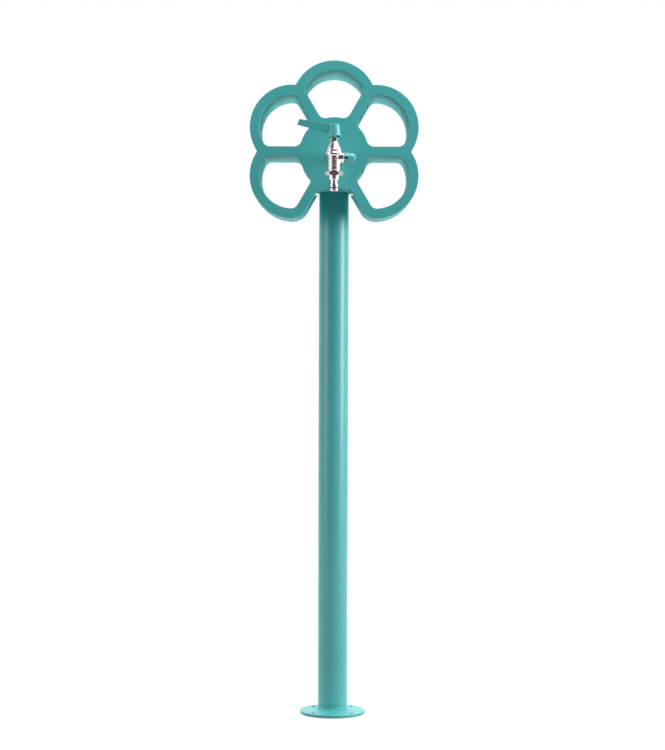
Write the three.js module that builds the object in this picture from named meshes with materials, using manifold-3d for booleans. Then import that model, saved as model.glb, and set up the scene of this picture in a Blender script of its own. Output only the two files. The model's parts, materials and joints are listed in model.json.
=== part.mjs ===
// Standing water tap with a flower-shaped head that also carries a hose.
// Millimetres, +Z up, the tap faces -Y. Origin: centre of the foot's underside.
import * as THREE from 'three';
import { mergeVertices } from 'three/addons/utils/BufferGeometryUtils.js';
import Module from 'manifold-3d';

// ---- Driving dimensions ------------------------------------------------------------------
const GAP = 0.3; // clearance between pieces that touch
const THROUGH = 1; // how far a cutting tool runs past the face that it opens
const SCREW_SHOWS = 2; // how far a screw's point stands out of what it holds

// Foot
const FOOT_R = 55;
const FOOT_T = 5;
const FOOT_CHAMFER = 0.8;
const ANCHOR_R = 4;
const ANCHOR_EDGE = 6.5; // metal between an anchor hole and the foot's rim

// Post and the supply pipe inside it
const POST_R = 25;
const POST_WALL = 2;
const POST_EDGE = 8; // foot that shows behind the post, which stands back on it
const POST_IN_HEAD = 20; // how far the post reaches into the head
const PIPE_R = 8;
const PIPE_WALL = 1.8;
const COUPLING_WALL = 3;
const COUPLING_H = 33;
const COUPLING_Z = 1; // its mouth, just inside the foot's underside
const COUPLING_INSERT = 14; // length of pipe held in the coupling

// Head: a flower of five petals, the sixth left out below
const HEAD_Z = 943; // centre of the flower
const HEAD_DEPTH = 152;
const PETAL_COUNT = 5;
const PETAL_STEP = 60; // angle between neighbours, in degrees
const PETAL_PITCH = 80; // flower's centre to a petal's centre
const PETAL_R = 70;
const RIM = 16; // width of the flat rim outside an opening
const SPOKE = 16.4; // width of the flat spoke between two openings
const HUB_R = 56.5; // the solid middle
const OPENING_FILLET = 13;
const FLOOR_BESIDE_POST = 1; // floor of the hub on each side of the post
const FACE_T = 3; // front and back plates
const STRIP_T = 2; // outer band and linings
const ARC_STEPS = 14;
const FILLET_STEPS = 4;

// Socket in the head for the post
const SOCKET_TO_BACK = 0.5; // clearance between the socket and the back plate
const SOCKET_WALL = 2.2;
const SOCKET_H = 16;
const SOCKET_SCREW_R = 3;
const SOCKET_SCREW_HEAD_R = 4;
const SOCKET_SCREW_HEAD_L = 5;
const SOCKET_SCREW_KEY_FLATS = 4;

// Screws through the two sides of the notch, close behind the front plate
const NOTCH_SCREW_FROM_FLOOR = 8.8; // up the slanted side, from its corner with the floor
const NOTCH_SCREW_FROM_FRONT = 14;
const NOTCH_SCREW_R = 2;
const NOTCH_SCREW_HEAD_R = 3.5;
const NOTCH_SCREW_HEAD_H = 3.4;
const NOTCH_NUT_FLATS = 7;
const NOTCH_NUT_T = 3;

// Service opening in the back of the hub
const SERVICE_R = 34;
const COVER_LAP = 11; // the cover over the back plate, all round
const COVER_T = 2;
const COVER_SCREWS = 4;
const COVER_SCREW_R = 1.9;
const COVER_SCREW_HEAD_R = 3.8;
const COVER_SCREW_HEAD_T = 2.2;

// Tap body. Heights are from the axis of its inlet.
const INLET_BELOW_CENTRE = 13; // inlet axis below the flower's centre
const TAP_REACH = 70; // front plate to the tap's vertical axis
const BARREL_BOTTOM = -22.5;
const BARREL_GROOVES = [-15.2, -10.2, -5.4];
const GROOVE_W = 1;
const GROOVE_DEPTH = 0.7;
const COLLAR_PROUD = 4.2; // of the barrel
const COLLAR_BOTTOM = 1.7;
const COLLAR_TOP = 5;
const COLLAR_CHAMFER = 1.2;
const SHOULDER_PROUD = 2.9; // of the barrel
const SHOULDER_SLOPE = 1.6;
const BODY_TOP = 9;
const SPIGOT_STEP = 1.1; // the barrel's threaded end is this much inside the barrel
const SPIGOT_L = 5.3;
const INLET_BOSS_R = 8.9;
const INLET_BOSS_PROUD = 6.9; // of the barrel
const OUTLET_BORE_R = 4.8;
const BALL_R = 7.5;
const BALL_CLEARANCE = 0.4;
const BALL_PORT_R = 3.8;
const SEAT_BEYOND_PORT = 0.6; // the seat's bore is this much wider than the ball's port
const INLET_SEAT_R = 6;
const INLET_SEAT_T = 4;
const OUTLET_SEAT_T = 2.9;

// Bonnet, gland and spindle
const BONNET_STEP = 0.4; // the bonnet's foot is this much inside the shoulder
const BONNET_FOOT_H = 1.2;
const BONNET_WALL = 1.2; // round the packing
const BONNET_H = 14.2;
const BONNET_LAND = 0.8; // between the bonnet's foot and its groove
const BONNET_GROOVE = 0.8; // height and depth
const SPINDLE_R = 3.5;
const SPINDLE_TIP_R = 2.1;
const SPINDLE_TIP_L = 2.5;
const PACKING_WALL = 2;
const PACKING_H = 4;
const GLAND_WALL = 2.7; // spindle to a flat of the gland nut
const GLAND_H = 8.3;

// Main lever. Heights are from the axis of the inlet.
const LEVER_OVER_GLAND = 1.8; // how far the hub's skirt hides the gland nut
const LEVER_HUB_H = 21;
const LEVER_HUB_BOTTOM_R = 11.5;
const LEVER_HUB_TOP_R = 8.5;
const LEVER_CHAMFER = 0.8;
const LEVER_SKIRT_WALL = 2;
const LEVER_SKIRT_DEPTH = 5.5;
const LEVER_REACH = 60;
const LEVER_TOP_RISE = 10; // degrees
const LEVER_UNDER_RISE = 14.7; // degrees
const LEVER_TIP_LEAN = 4; // the tip's upper corner stands back from its lower one
const LEVER_ROOT_H = 14;
const LEVER_ROOT_W = 12;
const LEVER_TIP_W = 9;
const LEVER_SOCKET_DEPTH = 10;
const HANDLE_SCREW_R = 1.5;
const HANDLE_SCREW_HEAD_R = 3.7;
const HANDLE_SCREW_HEAD_T = 2.6;
const SCREW_CHAMFER = 0.5;
const STOP_WINDOW_ANGLE = -50; // degrees, seen from above
const STOP_WINDOW_W = 7;
const STOP_WINDOW_H = 2.6;

// Union nut, hose nipple and their seals
const UNION_WALL = 2.8; // spigot to a flat of the union nut
const UNION_H = 7.1;
const UNION_CHAMFER = 1.3;
const UNION_LIP_T = 1;
const UNION_BELOW_BARREL = 2.1;
const WASHER_T = 1;
const NIPPLE_FLANGE_CLEARANCE = 0.4; // to the nut's thread
const NIPPLE_FLANGE_PROUD = 1; // of the shank
const NIPPLE_FLANGE_T = 1;
const NIPPLE_SHANK_R = 8.9;
const NIPPLE_SHANK_L = 7.4;
const NIPPLE_NECK_R = 6.1;
const NIPPLE_NECK_L = 4.9;
const NIPPLE_TIP_R = 7.25;
const NIPPLE_TIP_L = 12.1;
const NIPPLE_BORE_R = 4.2;
const NIPPLE_CHAMFER = 0.8;
const NIPPLE_SLOPE = 1.6;
const NIPPLE_GROOVE_FROM_END = 5;
const NIPPLE_GROOVE_R = 5.7;
const NIPPLE_GROOVE_W = 2.4;
const NIPPLE_SEAL_R = 0.85; // of its section
const NIPPLE_SEAL_CLEARANCE = 0.2;

// Side valve on the right of the barrel. Distances along X are from the tap's axis.
const SIDE_AXIS_Z = -3.1;
const SIDE_BOSS_R = 9.2;
const SIDE_BORE_R = 5.3;
const SIDE_SPINDLE_R = 2.5;
const SIDE_SPINDLE_TO_SCREW_HEAD = 2.4;
const SIDE_NUT_R = 6.9; // gland nut, screwed into the boss
const SIDE_NUT_T = 2.6;
const SIDE_HANDLE_L = 18.7;
const SIDE_HANDLE_ROOT_R = 9.3;
const SIDE_HANDLE_MID_R = 8.2;
const SIDE_HANDLE_END_R = 5.4;
const SIDE_HANDLE_MID_L = 11.6; // from the handle's root to its middle
const SIDE_HANDLE_CHAMFER = 1.6;
const SIDE_SKIRT_WALL = 2;
const SIDE_SKIRT_DEPTH = 7;
const SIDE_WINDOW_L = 7;
const SIDE_WINDOW_H = 3.2;
const SIDE_WING_REACH = 24;
const SIDE_WING_W = 9;
const SIDE_WING_T = 8;
const SIDE_SCREW_R = 1.1;
const SIDE_SCREW_HEAD_R = 3;
const SIDE_SCREW_HEAD_T = 1.9;
const SIDE_PLUG_T = 2.2;
const SIDE_SEAL_L = 1.8;

// Tail that carries the tap, and the elbow behind it
const TAIL_R = 8;
const TAIL_HOLE_CLEARANCE = 0.4;
const TAIL_IN_BOSS_R = 6.7;
const TAIL_BORE_R = 4.8;
const TAIL_FLANGE_PROUD = 3;
const TAIL_FLANGE_T = 3.2;
const TAIL_SEAL_T = 1.2;
const TAIL_FROM_BALL = 1.5;
const LOCK_NUT_WALL = 3; // tail to a flat of the lock nut
const LOCK_NUT_T = 6;
const ELBOW_WALL = 3;
const ELBOW_LEG = 20; // from the elbow's corner to each mouth
const ELBOW_INSERT = 9; // length of pipe or tail inside the elbow
const PIPE_NUT_WALL = 2; // pipe to a flat of its nut
const PIPE_NUT_H = 8.5;

// ---- Derived places ----------------------------------------------------------------------
const radians = THREE.MathUtils.degToRad;

const ANCHOR_OFFSET = (FOOT_R - ANCHOR_EDGE - ANCHOR_R) / Math.SQRT2; // in X and in Y
const POST_Y = FOOT_R - POST_EDGE - POST_R;
const POST_BORE_R = POST_R - POST_WALL;
const COUPLING_R = PIPE_R + COUPLING_WALL;
const SOCKET_R = POST_R + GAP + SOCKET_WALL;
const BACK_Y = POST_Y + SOCKET_R + SOCKET_TO_BACK + FACE_T;
const FRONT_Y = BACK_Y - HEAD_DEPTH;
const TAP_Y = FRONT_Y - TAP_REACH;
const INLET_Z = HEAD_Z - INLET_BELOW_CENTRE;

// The petals go round from the right lower one over the top; the place left out is the notch,
// whose two sides meet the hub's floor just outside the post.
const NOTCH_HALF = PETAL_STEP / 2; // angle from straight down to a notch side, in degrees
const SPOKE_BESIDE_NOTCH = NOTCH_HALF - 90; // direction of the right lower spoke
const PETALS = Array.from(
  { length: PETAL_COUNT },
  (_, i) => SPOKE_BESIDE_NOTCH + PETAL_STEP * (i + 0.5),
);
const notchApexBelowCentre = SPOKE / 2 / Math.sin(radians(NOTCH_HALF));
const FLOOR_BELOW_CENTRE =
  notchApexBelowCentre + (POST_R + FLOOR_BESIDE_POST) / Math.tan(radians(NOTCH_HALF));
const FLOOR_Z = HEAD_Z - FLOOR_BELOW_CENTRE;
const floorAlongSpoke =
  (FLOOR_BELOW_CENTRE - (SPOKE / 2) * Math.sin(radians(NOTCH_HALF))) / Math.cos(radians(NOTCH_HALF));
const SOCKET_SCREW_Z = FLOOR_Z + STRIP_T + GAP + SOCKET_H / 2;

const COVER_R = SERVICE_R + COVER_LAP;
const COVER_SCREW_CIRCLE_R = SERVICE_R + COVER_LAP / 2;

// The nipple's flange sets the union nut's thread, and so the spigot and the barrel above it.
const NIPPLE_FLANGE_R = NIPPLE_SHANK_R + NIPPLE_FLANGE_PROUD;
const UNION_THREAD_R = NIPPLE_FLANGE_R + NIPPLE_FLANGE_CLEARANCE;
const SPIGOT_R = UNION_THREAD_R - GAP;
const BARREL_R = SPIGOT_R + SPIGOT_STEP;
const COLLAR_R = BARREL_R + COLLAR_PROUD;
const SHOULDER_R = BARREL_R + SHOULDER_PROUD;
const INLET_BOSS_L = BARREL_R + INLET_BOSS_PROUD;
const BALL_CAVITY_R = BALL_R + BALL_CLEARANCE;
const outletSeatTop = -INLET_SEAT_R - GAP;
const outletSeatBottom = outletSeatTop - OUTLET_SEAT_T;
const TAIL_FLANGE_R = TAIL_R + TAIL_FLANGE_PROUD;
const ELBOW_R = Math.max(PIPE_R, TAIL_R) + ELBOW_WALL;

// ---- Finishes ----------------------------------------------------------------------------
const finish = (color, roughness, metalness) =>
  new THREE.MeshStandardMaterial({ color, roughness, metalness });
const TEAL_COAT = finish(0x3fa0a0, 0.35, 0);
const CHROME = finish(0xd8d8dc, 0.08, 1);
const BRASS = finish(0xb8954e, 0.35, 1);
const ZINC_STEEL = finish(0xa9adb0, 0.4, 1);
const STAINLESS = finish(0xc4c7c9, 0.25, 1);
const RUBBER = finish(0x1c1c1d, 0.8, 0);
const PTFE = finish(0xeeeeea, 0.5, 0);
const PIPE_PLASTIC = finish(0xe3e2dc, 0.5, 0);

// ---- Solids ------------------------------------------------------------------------------
const wasm = await Module();
wasm.setup();

const point = (x, y) => new THREE.Vector2(x, y);
const polar = (radius, degrees) =>
  point(radius * Math.cos(radians(degrees)), radius * Math.sin(radians(degrees)));

function solidOf(geometry) {
  const bare = geometry.clone();
  bare.deleteAttribute('normal');
  bare.deleteAttribute('uv');
  const merged = mergeVertices(bare, 1e-3);
  const triVerts = Uint32Array.from(merged.index.array);
  const vertProperties = merged.attributes.position.array;
  return new wasm.Manifold(new wasm.Mesh({ numProp: 3, vertProperties, triVerts }));
}

function geometryOf(solid) {
  const mesh = solid.getMesh();
  const geometry = new THREE.BufferGeometry();
  geometry.setAttribute('position', new THREE.BufferAttribute(mesh.vertProperties, 3));
  geometry.setIndex(new THREE.BufferAttribute(mesh.triVerts, 1));
  const flat = geometry.toNonIndexed();
  flat.computeVertexNormals();
  return flat;
}

const joined = (first, ...rest) =>
  geometryOf(rest.reduce((sum, next) => sum.add(solidOf(next)), solidOf(first)));
const cut = (body, ...tools) =>
  geometryOf(tools.reduce((left, tool) => left.subtract(solidOf(tool)), solidOf(body)));
const common = (a, b) => geometryOf(solidOf(a).intersect(solidOf(b)));

// A turned piece about Z, from [radius, height] points listed with the material on their left.
function turned(profile, segments = 24) {
  const points = profile.map(([radius, height]) => point(radius, height));
  return new THREE.LatheGeometry(points, segments).rotateX(Math.PI / 2);
}
const rod = (radius, bottom, top, segments) =>
  turned([[0, bottom], [radius, bottom], [radius, top], [0, top]], segments);
const ring = (inner, outer, bottom, top, segments) =>
  turned([[inner, bottom], [outer, bottom], [outer, top], [inner, top], [inner, bottom]], segments);
const ball = (radius, segments = 20) =>
  new THREE.SphereGeometry(radius, segments, segments / 2).rotateX(Math.PI / 2);
const block = (x, y, z) => new THREE.BoxGeometry(x, y, z);

// Turns a piece made along Z to lie along +X or +Y.
const alongX = (geometry) => geometry.rotateY(Math.PI / 2);
const alongY = (geometry) => geometry.rotateX(-Math.PI / 2);

// A hexagonal prism about Z, given its width across flats, with two of the flats facing +-Y.
function hexagon(flats, bottom, top) {
  const corner = flats / 2 / Math.cos(Math.PI / 6);
  return new THREE.CylinderGeometry(corner, corner, top - bottom, 6)
    .rotateX(Math.PI / 2)
    .rotateZ(Math.PI / 6)
    .translate(0, 0, (top + bottom) / 2);
}

// ---- Outlines ----------------------------------------------------------------------------
function arc(centre, radius, from, to, steps) {
  const points = [];
  for (let i = 0; i <= steps; i += 1) {
    points.push(polar(radius, from + ((to - from) * i) / steps).add(centre));
  }
  return points;
}

// A straight line's place for a fillet centre: on the line at `distance` beside the direction
// `degrees` through the flower's centre, at `radius` from `centre`, on the far side of it.
function onLineAtRadius(degrees, distance, centre, radius) {
  const along = polar(1, degrees);
  const start = polar(distance, degrees - 90);
  const offset = start.clone().sub(centre);
  const half = offset.dot(along);
  const reach = -half + Math.sqrt(half * half - offset.lengthSq() + radius * radius);
  return start.add(along.multiplyScalar(reach));
}

const angleOf = (vector) => THREE.MathUtils.radToDeg(Math.atan2(vector.y, vector.x));

// One opening of the flower, grown outwards by `grow`, about the petal's own axis along +X.
function openingPoints(grow) {
  const outerR = PETAL_R - RIM + grow;
  const hubR = HUB_R - grow;
  const fillet = OPENING_FILLET + grow;
  const petalCentre = point(PETAL_PITCH, 0);
  const side = PETAL_STEP / 2; // direction of the opening's upper side
  const fromSpoke = SPOKE / 2 - grow + fillet;
  const outer = onLineAtRadius(side, fromSpoke, petalCentre, outerR - fillet);
  const inner = onLineAtRadius(side, fromSpoke, point(0, 0), hubR + fillet);
  const outerAngle = angleOf(outer.clone().sub(petalCentre));
  const innerAngle = angleOf(inner);
  const square = side + 90; // direction square to that side
  const below = (p) => point(p.x, -p.y);
  return [
    ...arc(petalCentre, outerR, -outerAngle, outerAngle, ARC_STEPS),
    ...arc(outer, fillet, outerAngle, square, FILLET_STEPS).slice(1),
    ...arc(inner, fillet, square, 180 + innerAngle, FILLET_STEPS),
    ...arc(point(0, 0), hubR, innerAngle, -innerAngle, FILLET_STEPS).slice(1, -1),
    ...arc(below(inner), fillet, 180 - innerAngle, 360 - square, FILLET_STEPS),
    ...arc(below(outer), fillet, 360 - square, 360 - outerAngle, FILLET_STEPS).slice(0, -1),
  ];
}

const openingOutline = (petal, grow) =>
  openingPoints(grow).map((p) => p.rotateAround(point(0, 0), radians(petal)));

// The outside of the flower, drawn in by `inset`, from the floor's right end round to its left.
function flowerOutline(inset) {
  const radius = PETAL_R - inset;
  const fillet = OPENING_FILLET + RIM - inset;
  const edge = SPOKE_BESIDE_NOTCH;
  const squareToEdge = edge - 90;
  const centreOf = (petal) => polar(PETAL_PITCH, petal);
  const halfApart = PETAL_PITCH * Math.sin(radians(PETAL_STEP / 2));
  const cuspTurn = angleOf(point(halfApart, Math.sqrt(radius ** 2 - halfApart ** 2)));
  const toNext = 90 + PETAL_STEP / 2; // direction from a petal's centre to its neighbour's
  const corner = onLineAtRadius(edge, SPOKE / 2 - inset - fillet, centreOf(PETALS[0]), radius - fillet);
  const cornerAngle = angleOf(corner.clone().sub(centreOf(PETALS[0])));
  const side = polar(SPOKE / 2 - inset, squareToEdge);
  const down = polar(1, edge);
  const floor = inset - FLOOR_BELOW_CENTRE;
  const floorEnd = side.clone().add(down.multiplyScalar((floor - side.y) / down.y));
  const mirrored = (p) => point(-p.x, p.y);
  const petalArcs = PETALS.flatMap((petal, i) => {
    const from = i === 0 ? cornerAngle : petal - toNext + cuspTurn;
    const to = i === PETAL_COUNT - 1 ? 180 - cornerAngle : petal + toNext - cuspTurn;
    return arc(centreOf(petal), radius, from, to, ARC_STEPS).slice(1);
  });
  return [
    floorEnd,
    ...arc(corner, fillet, squareToEdge, cornerAngle, FILLET_STEPS),
    ...petalArcs,
    ...arc(mirrored(corner), fillet, 180 - cornerAngle, 180 - squareToEdge, FILLET_STEPS).slice(1),
    mirrored(floorEnd),
  ];
}

const circle = (x, y, radius, segments = 32) =>
  arc(point(x, y), radius, 0, 360 - 360 / segments, segments - 1);

// A plate or strip that stands upright: an outline in X and Z, from frontY back by depth.
function upright(outline, holes, frontY, depth) {
  const shape = new THREE.Shape(outline);
  shape.holes = holes.map((hole) => new THREE.Path(hole));
  const made = new THREE.ExtrudeGeometry(shape, { depth, bevelEnabled: false });
  return made.rotateX(Math.PI / 2).translate(0, frontY + depth, 0);
}

// ---- Assembly helpers --------------------------------------------------------------------
function place(group, name, geometry, material, x = 0, y = 0, z = 0) {
  const mesh = new THREE.Mesh(geometry, material);
  mesh.name = name;
  mesh.position.set(x, y, z);
  group.add(mesh);
  return mesh;
}

function section(parent, x, y, z) {
  const group = new THREE.Group();
  group.position.set(x, y, z);
  parent.add(group);
  return group;
}

const fountain = new THREE.Group();

// ---- Foot and post -----------------------------------------------------------------------
function footPlate() {
  const disc = turned([
    [0, 0],
    [FOOT_R, 0],
    [FOOT_R, FOOT_T - FOOT_CHAMFER],
    [FOOT_R - FOOT_CHAMFER, FOOT_T],
    [0, FOOT_T],
  ], 56);
  const drill = (radius, x, y, segments) =>
    rod(radius, -THROUGH, FOOT_T + THROUGH, segments).translate(x, y, 0);
  const anchors = [];
  for (const x of [-ANCHOR_OFFSET, ANCHOR_OFFSET]) {
    for (const y of [-ANCHOR_OFFSET, ANCHOR_OFFSET]) {
      anchors.push(drill(ANCHOR_R, x, y, 16));
    }
  }
  return cut(disc, drill(COUPLING_R + GAP, 0, POST_Y, 32), ...anchors);
}

function postTube() {
  const top = FLOOR_Z + POST_IN_HEAD;
  const tube = ring(POST_BORE_R, POST_R, FOOT_T + GAP, top, 40);
  const drill = alongX(rod(SOCKET_SCREW_R + GAP, -SOCKET_R, SOCKET_R, 16));
  return cut(tube, drill.translate(0, 0, SOCKET_SCREW_Z));
}

function inletCoupling() {
  const top = COUPLING_Z + COUPLING_H;
  const ledge = top - COUPLING_INSERT;
  const boreR = PIPE_R - PIPE_WALL;
  return turned([
    [PIPE_R + GAP, COUPLING_Z],
    [COUPLING_R, COUPLING_Z],
    [COUPLING_R, top],
    [PIPE_R + GAP, top],
    [PIPE_R + GAP, ledge],
    [boreR, ledge],
    [boreR, ledge - COUPLING_WALL],
    [PIPE_R + GAP, ledge - COUPLING_WALL],
    [PIPE_R + GAP, COUPLING_Z],
  ], 24);
}

const elbowMouthZ = INLET_Z - ELBOW_LEG;
const pipeBottom = COUPLING_Z + COUPLING_H - COUPLING_INSERT + GAP;
const pipeTop = elbowMouthZ + ELBOW_INSERT - GAP;

place(fountain, 'base_plate', footPlate(), TEAL_COAT);
place(fountain, 'post_tube', postTube(), TEAL_COAT, 0, POST_Y, 0);
place(fountain, 'inlet_coupling', inletCoupling(), BRASS, 0, POST_Y, 0);
const pipe = ring(PIPE_R - PIPE_WALL, PIPE_R, pipeBottom, pipeTop, 20);
place(fountain, 'feed_pipe', pipe, PIPE_PLASTIC, 0, POST_Y, 0);

// ---- Head --------------------------------------------------------------------------------
const head = section(fountain, 0, 0, HEAD_Z);
const openings = PETALS.map((petal) => openingOutline(petal, 0));
const stripFrontY = FRONT_Y + FACE_T + GAP;
const stripDepth = HEAD_DEPTH - 2 * (FACE_T + GAP);

const tailHole = circle(0, -INLET_BELOW_CENTRE, TAIL_R + TAIL_HOLE_CLEARANCE, 24);
const frontPlate = upright(flowerOutline(0), [...openings, tailHole], FRONT_Y, FACE_T);
place(head, 'head_front_plate', frontPlate, TEAL_COAT);

const coverScrewAngles = Array.from(
  { length: COVER_SCREWS },
  (_, i) => 45 + (360 / COVER_SCREWS) * i,
);
const coverScrewHoles = coverScrewAngles.map((angle) => {
  const at = polar(COVER_SCREW_CIRCLE_R, angle);
  return circle(at.x, at.y, COVER_SCREW_R + GAP, 12);
});
const backHoles = [...openings, circle(0, 0, SERVICE_R, 32), ...coverScrewHoles];
const backPlate = upright(flowerOutline(0), backHoles, BACK_Y - FACE_T, FACE_T);
place(head, 'head_back_plate', backPlate, TEAL_COAT);

// Takes a piece made along Z, with z = 0 at the notch side's outer face and +Z going into the
// head, to its place on the left (-1) or right (1) side of the notch.
function throughNotchSide(geometry, side) {
  const along = polar(floorAlongSpoke + NOTCH_SCREW_FROM_FLOOR, SPOKE_BESIDE_NOTCH);
  const across = polar(SPOKE / 2, SPOKE_BESIDE_NOTCH - 90);
  const at = along.add(across);
  const turn = radians(90 - NOTCH_HALF);
  return geometry.rotateY(side * turn).translate(side * at.x, 0, at.y);
}
const notchScrewY = FRONT_Y + NOTCH_SCREW_FROM_FRONT;

function outerBand() {
  const strip = upright(flowerOutline(0), [flowerOutline(STRIP_T)], stripFrontY, stripDepth);
  const postHole = rod(POST_R + GAP, -THROUGH, STRIP_T + THROUGH, 40);
  const screwHoles = [-1, 1].map((side) => {
    const hole = rod(NOTCH_SCREW_R + GAP, -THROUGH, STRIP_T + THROUGH, 12);
    return throughNotchSide(hole, side).translate(0, notchScrewY, 0);
  });
  return cut(strip, postHole.translate(0, POST_Y, -FLOOR_BELOW_CENTRE), ...screwHoles);
}
place(head, 'head_outer_band', outerBand(), TEAL_COAT);

PETALS.forEach((petal, i) => {
  const outside = openingOutline(petal, STRIP_T);
  const lining = upright(outside, [openings[i]], stripFrontY, stripDepth);
  place(head, `petal_lining_${i + 1}`, lining, TEAL_COAT);
});

const coverY = BACK_Y + GAP;
const cover = upright(circle(0, 0, COVER_R, 40), coverScrewHoles, coverY, COVER_T);
place(head, 'rear_cover', cover, TEAL_COAT);

function coverScrew() {
  const tip = -FACE_T - COVER_T - 2 * GAP - SCREW_SHOWS;
  const dome = COVER_SCREW_HEAD_R - COVER_SCREW_HEAD_T / 2;
  return alongY(turned([
    [0, tip],
    [COVER_SCREW_R, tip],
    [COVER_SCREW_R, GAP],
    [COVER_SCREW_HEAD_R, GAP],
    [COVER_SCREW_HEAD_R, GAP + COVER_SCREW_HEAD_T / 2],
    [dome, GAP + COVER_SCREW_HEAD_T],
    [0, GAP + COVER_SCREW_HEAD_T],
  ], 16));
}
coverScrewAngles.forEach((angle, i) => {
  const at = polar(COVER_SCREW_CIRCLE_R, angle);
  const name = `rear_cover_screw_${i + 1}`;
  place(head, name, coverScrew(), STAINLESS, at.x, coverY + COVER_T, at.y);
});

// ---- Joint between head and post ---------------------------------------------------------
function postSocket() {
  const bottom = FLOOR_Z + STRIP_T + GAP;
  const sleeve = ring(POST_R + GAP, SOCKET_R, bottom, bottom + SOCKET_H, 40);
  const drill = alongX(rod(SOCKET_SCREW_R + GAP, -SOCKET_R - THROUGH, SOCKET_R + THROUGH, 16));
  return cut(sleeve, drill.translate(0, 0, SOCKET_SCREW_Z));
}
place(fountain, 'post_socket', postSocket(), ZINC_STEEL, 0, POST_Y, 0);

// Along X, its head against the sleeve at +X and its point inside the post.
function socketScrew() {
  const seat = SOCKET_R + GAP;
  const top = seat + SOCKET_SCREW_HEAD_L;
  const screw = turned([
    [0, POST_BORE_R - SCREW_SHOWS],
    [SOCKET_SCREW_R, POST_BORE_R - SCREW_SHOWS],
    [SOCKET_SCREW_R, seat],
    [SOCKET_SCREW_HEAD_R, seat],
    [SOCKET_SCREW_HEAD_R, top],
    [0, top],
  ], 16);
  const key = hexagon(SOCKET_SCREW_KEY_FLATS, top - SOCKET_SCREW_HEAD_L / 2, top + THROUGH);
  return alongX(cut(screw, key));
}
const socketScrews = section(fountain, 0, POST_Y, SOCKET_SCREW_Z);
place(socketScrews, 'socket_screw_right', socketScrew(), ZINC_STEEL);
const leftSocketScrew = place(socketScrews, 'socket_screw_left', socketScrew(), ZINC_STEEL);
leftSocketScrew.rotation.z = Math.PI;

function notchScrew() {
  const quarter = arc(point(0, 0), 1, -90, 0, FILLET_STEPS);
  const dome = quarter.map((p) => [NOTCH_SCREW_HEAD_R * p.x, NOTCH_SCREW_HEAD_H * p.y - GAP]);
  const tip = STRIP_T + NOTCH_NUT_T + 2 * GAP + SCREW_SHOWS;
  return turned([...dome, [NOTCH_SCREW_R, -GAP], [NOTCH_SCREW_R, tip], [0, tip]], 20);
}

function notchNut() {
  const near = STRIP_T + GAP;
  const far = near + NOTCH_NUT_T;
  const bore = rod(NOTCH_SCREW_R + GAP, near - THROUGH, far + THROUGH, 12);
  return cut(hexagon(NOTCH_NUT_FLATS, near, far), bore);
}

[['left', -1], ['right', 1]].forEach(([name, side]) => {
  const screw = throughNotchSide(notchScrew(), side);
  place(head, `notch_screw_${name}`, screw, CHROME, 0, notchScrewY, 0);
  const nut = throughNotchSide(notchNut(), side);
  place(head, `notch_nut_${name}`, nut, ZINC_STEEL, 0, notchScrewY, 0);
});

// ---- Elbow, tail and what holds them -----------------------------------------------------
function elbow() {
  const socketR = Math.max(PIPE_R, TAIL_R) + GAP;
  const boreR = PIPE_R - PIPE_WALL;
  const leg = () => rod(ELBOW_R, -ELBOW_LEG, 0, 24);
  const bore = () => rod(boreR, -ELBOW_LEG - THROUGH, 0, 20);
  const mouth = () => rod(socketR, -ELBOW_LEG - THROUGH, -ELBOW_LEG + ELBOW_INSERT, 20);
  const body = joined(leg(), alongY(leg()), ball(ELBOW_R));
  return cut(body, bore(), alongY(bore()), ball(boreR, 20), mouth(), alongY(mouth()));
}
const inlet = section(fountain, 0, 0, INLET_Z);
place(inlet, 'feed_elbow', elbow(), BRASS, 0, POST_Y, 0);

const pipeNutTop = -ELBOW_LEG - GAP;
const pipeNutFlats = 2 * (PIPE_R + PIPE_NUT_WALL);
const pipeNut = hexagon(pipeNutFlats, pipeNutTop - PIPE_NUT_H, pipeNutTop);
const pipeNutBore = rod(PIPE_R + GAP, pipeNutTop - PIPE_NUT_H - THROUGH, pipeNutTop + THROUGH, 20);
place(inlet, 'pipe_nut', cut(pipeNut, pipeNutBore), BRASS, 0, POST_Y, 0);

function inletTail() {
  const start = TAP_Y + BALL_R + TAIL_FROM_BALL;
  const boss = TAP_Y + INLET_BOSS_L + GAP;
  const flangeBack = FRONT_Y - TAIL_SEAL_T - 2 * GAP;
  const end = POST_Y - ELBOW_LEG + ELBOW_INSERT - GAP;
  return alongY(turned([
    [TAIL_BORE_R, start],
    [TAIL_IN_BOSS_R, start],
    [TAIL_IN_BOSS_R, boss],
    [TAIL_R, boss],
    [TAIL_R, flangeBack - TAIL_FLANGE_T],
    [TAIL_FLANGE_R, flangeBack - TAIL_FLANGE_T],
    [TAIL_FLANGE_R, flangeBack],
    [TAIL_R, flangeBack],
    [TAIL_R, end],
    [TAIL_BORE_R, end],
    [TAIL_BORE_R, start],
  ], 24));
}
place(inlet, 'inlet_tail', inletTail(), CHROME);

const sealY = FRONT_Y - GAP;
const tailSeal = alongY(ring(TAIL_R + GAP, TAIL_FLANGE_R, sealY - TAIL_SEAL_T, sealY, 28));
place(inlet, 'tail_seal', tailSeal, RUBBER);

const lockNutY = FRONT_Y + FACE_T + GAP;
const lockNutFlats = 2 * (TAIL_R + LOCK_NUT_WALL);
const lockNut = hexagon(lockNutFlats, lockNutY, lockNutY + LOCK_NUT_T);
const lockNutBore = rod(TAIL_R + GAP, lockNutY - THROUGH, lockNutY + LOCK_NUT_T + THROUGH, 20);
place(inlet, 'tail_lock_nut', alongY(cut(lockNut, lockNutBore)), BRASS);

// ---- Tap body ----------------------------------------------------------------------------
const tap = section(fountain, 0, TAP_Y, INLET_Z);
const sideValve = section(tap, 0, 0, SIDE_AXIS_Z);

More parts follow.
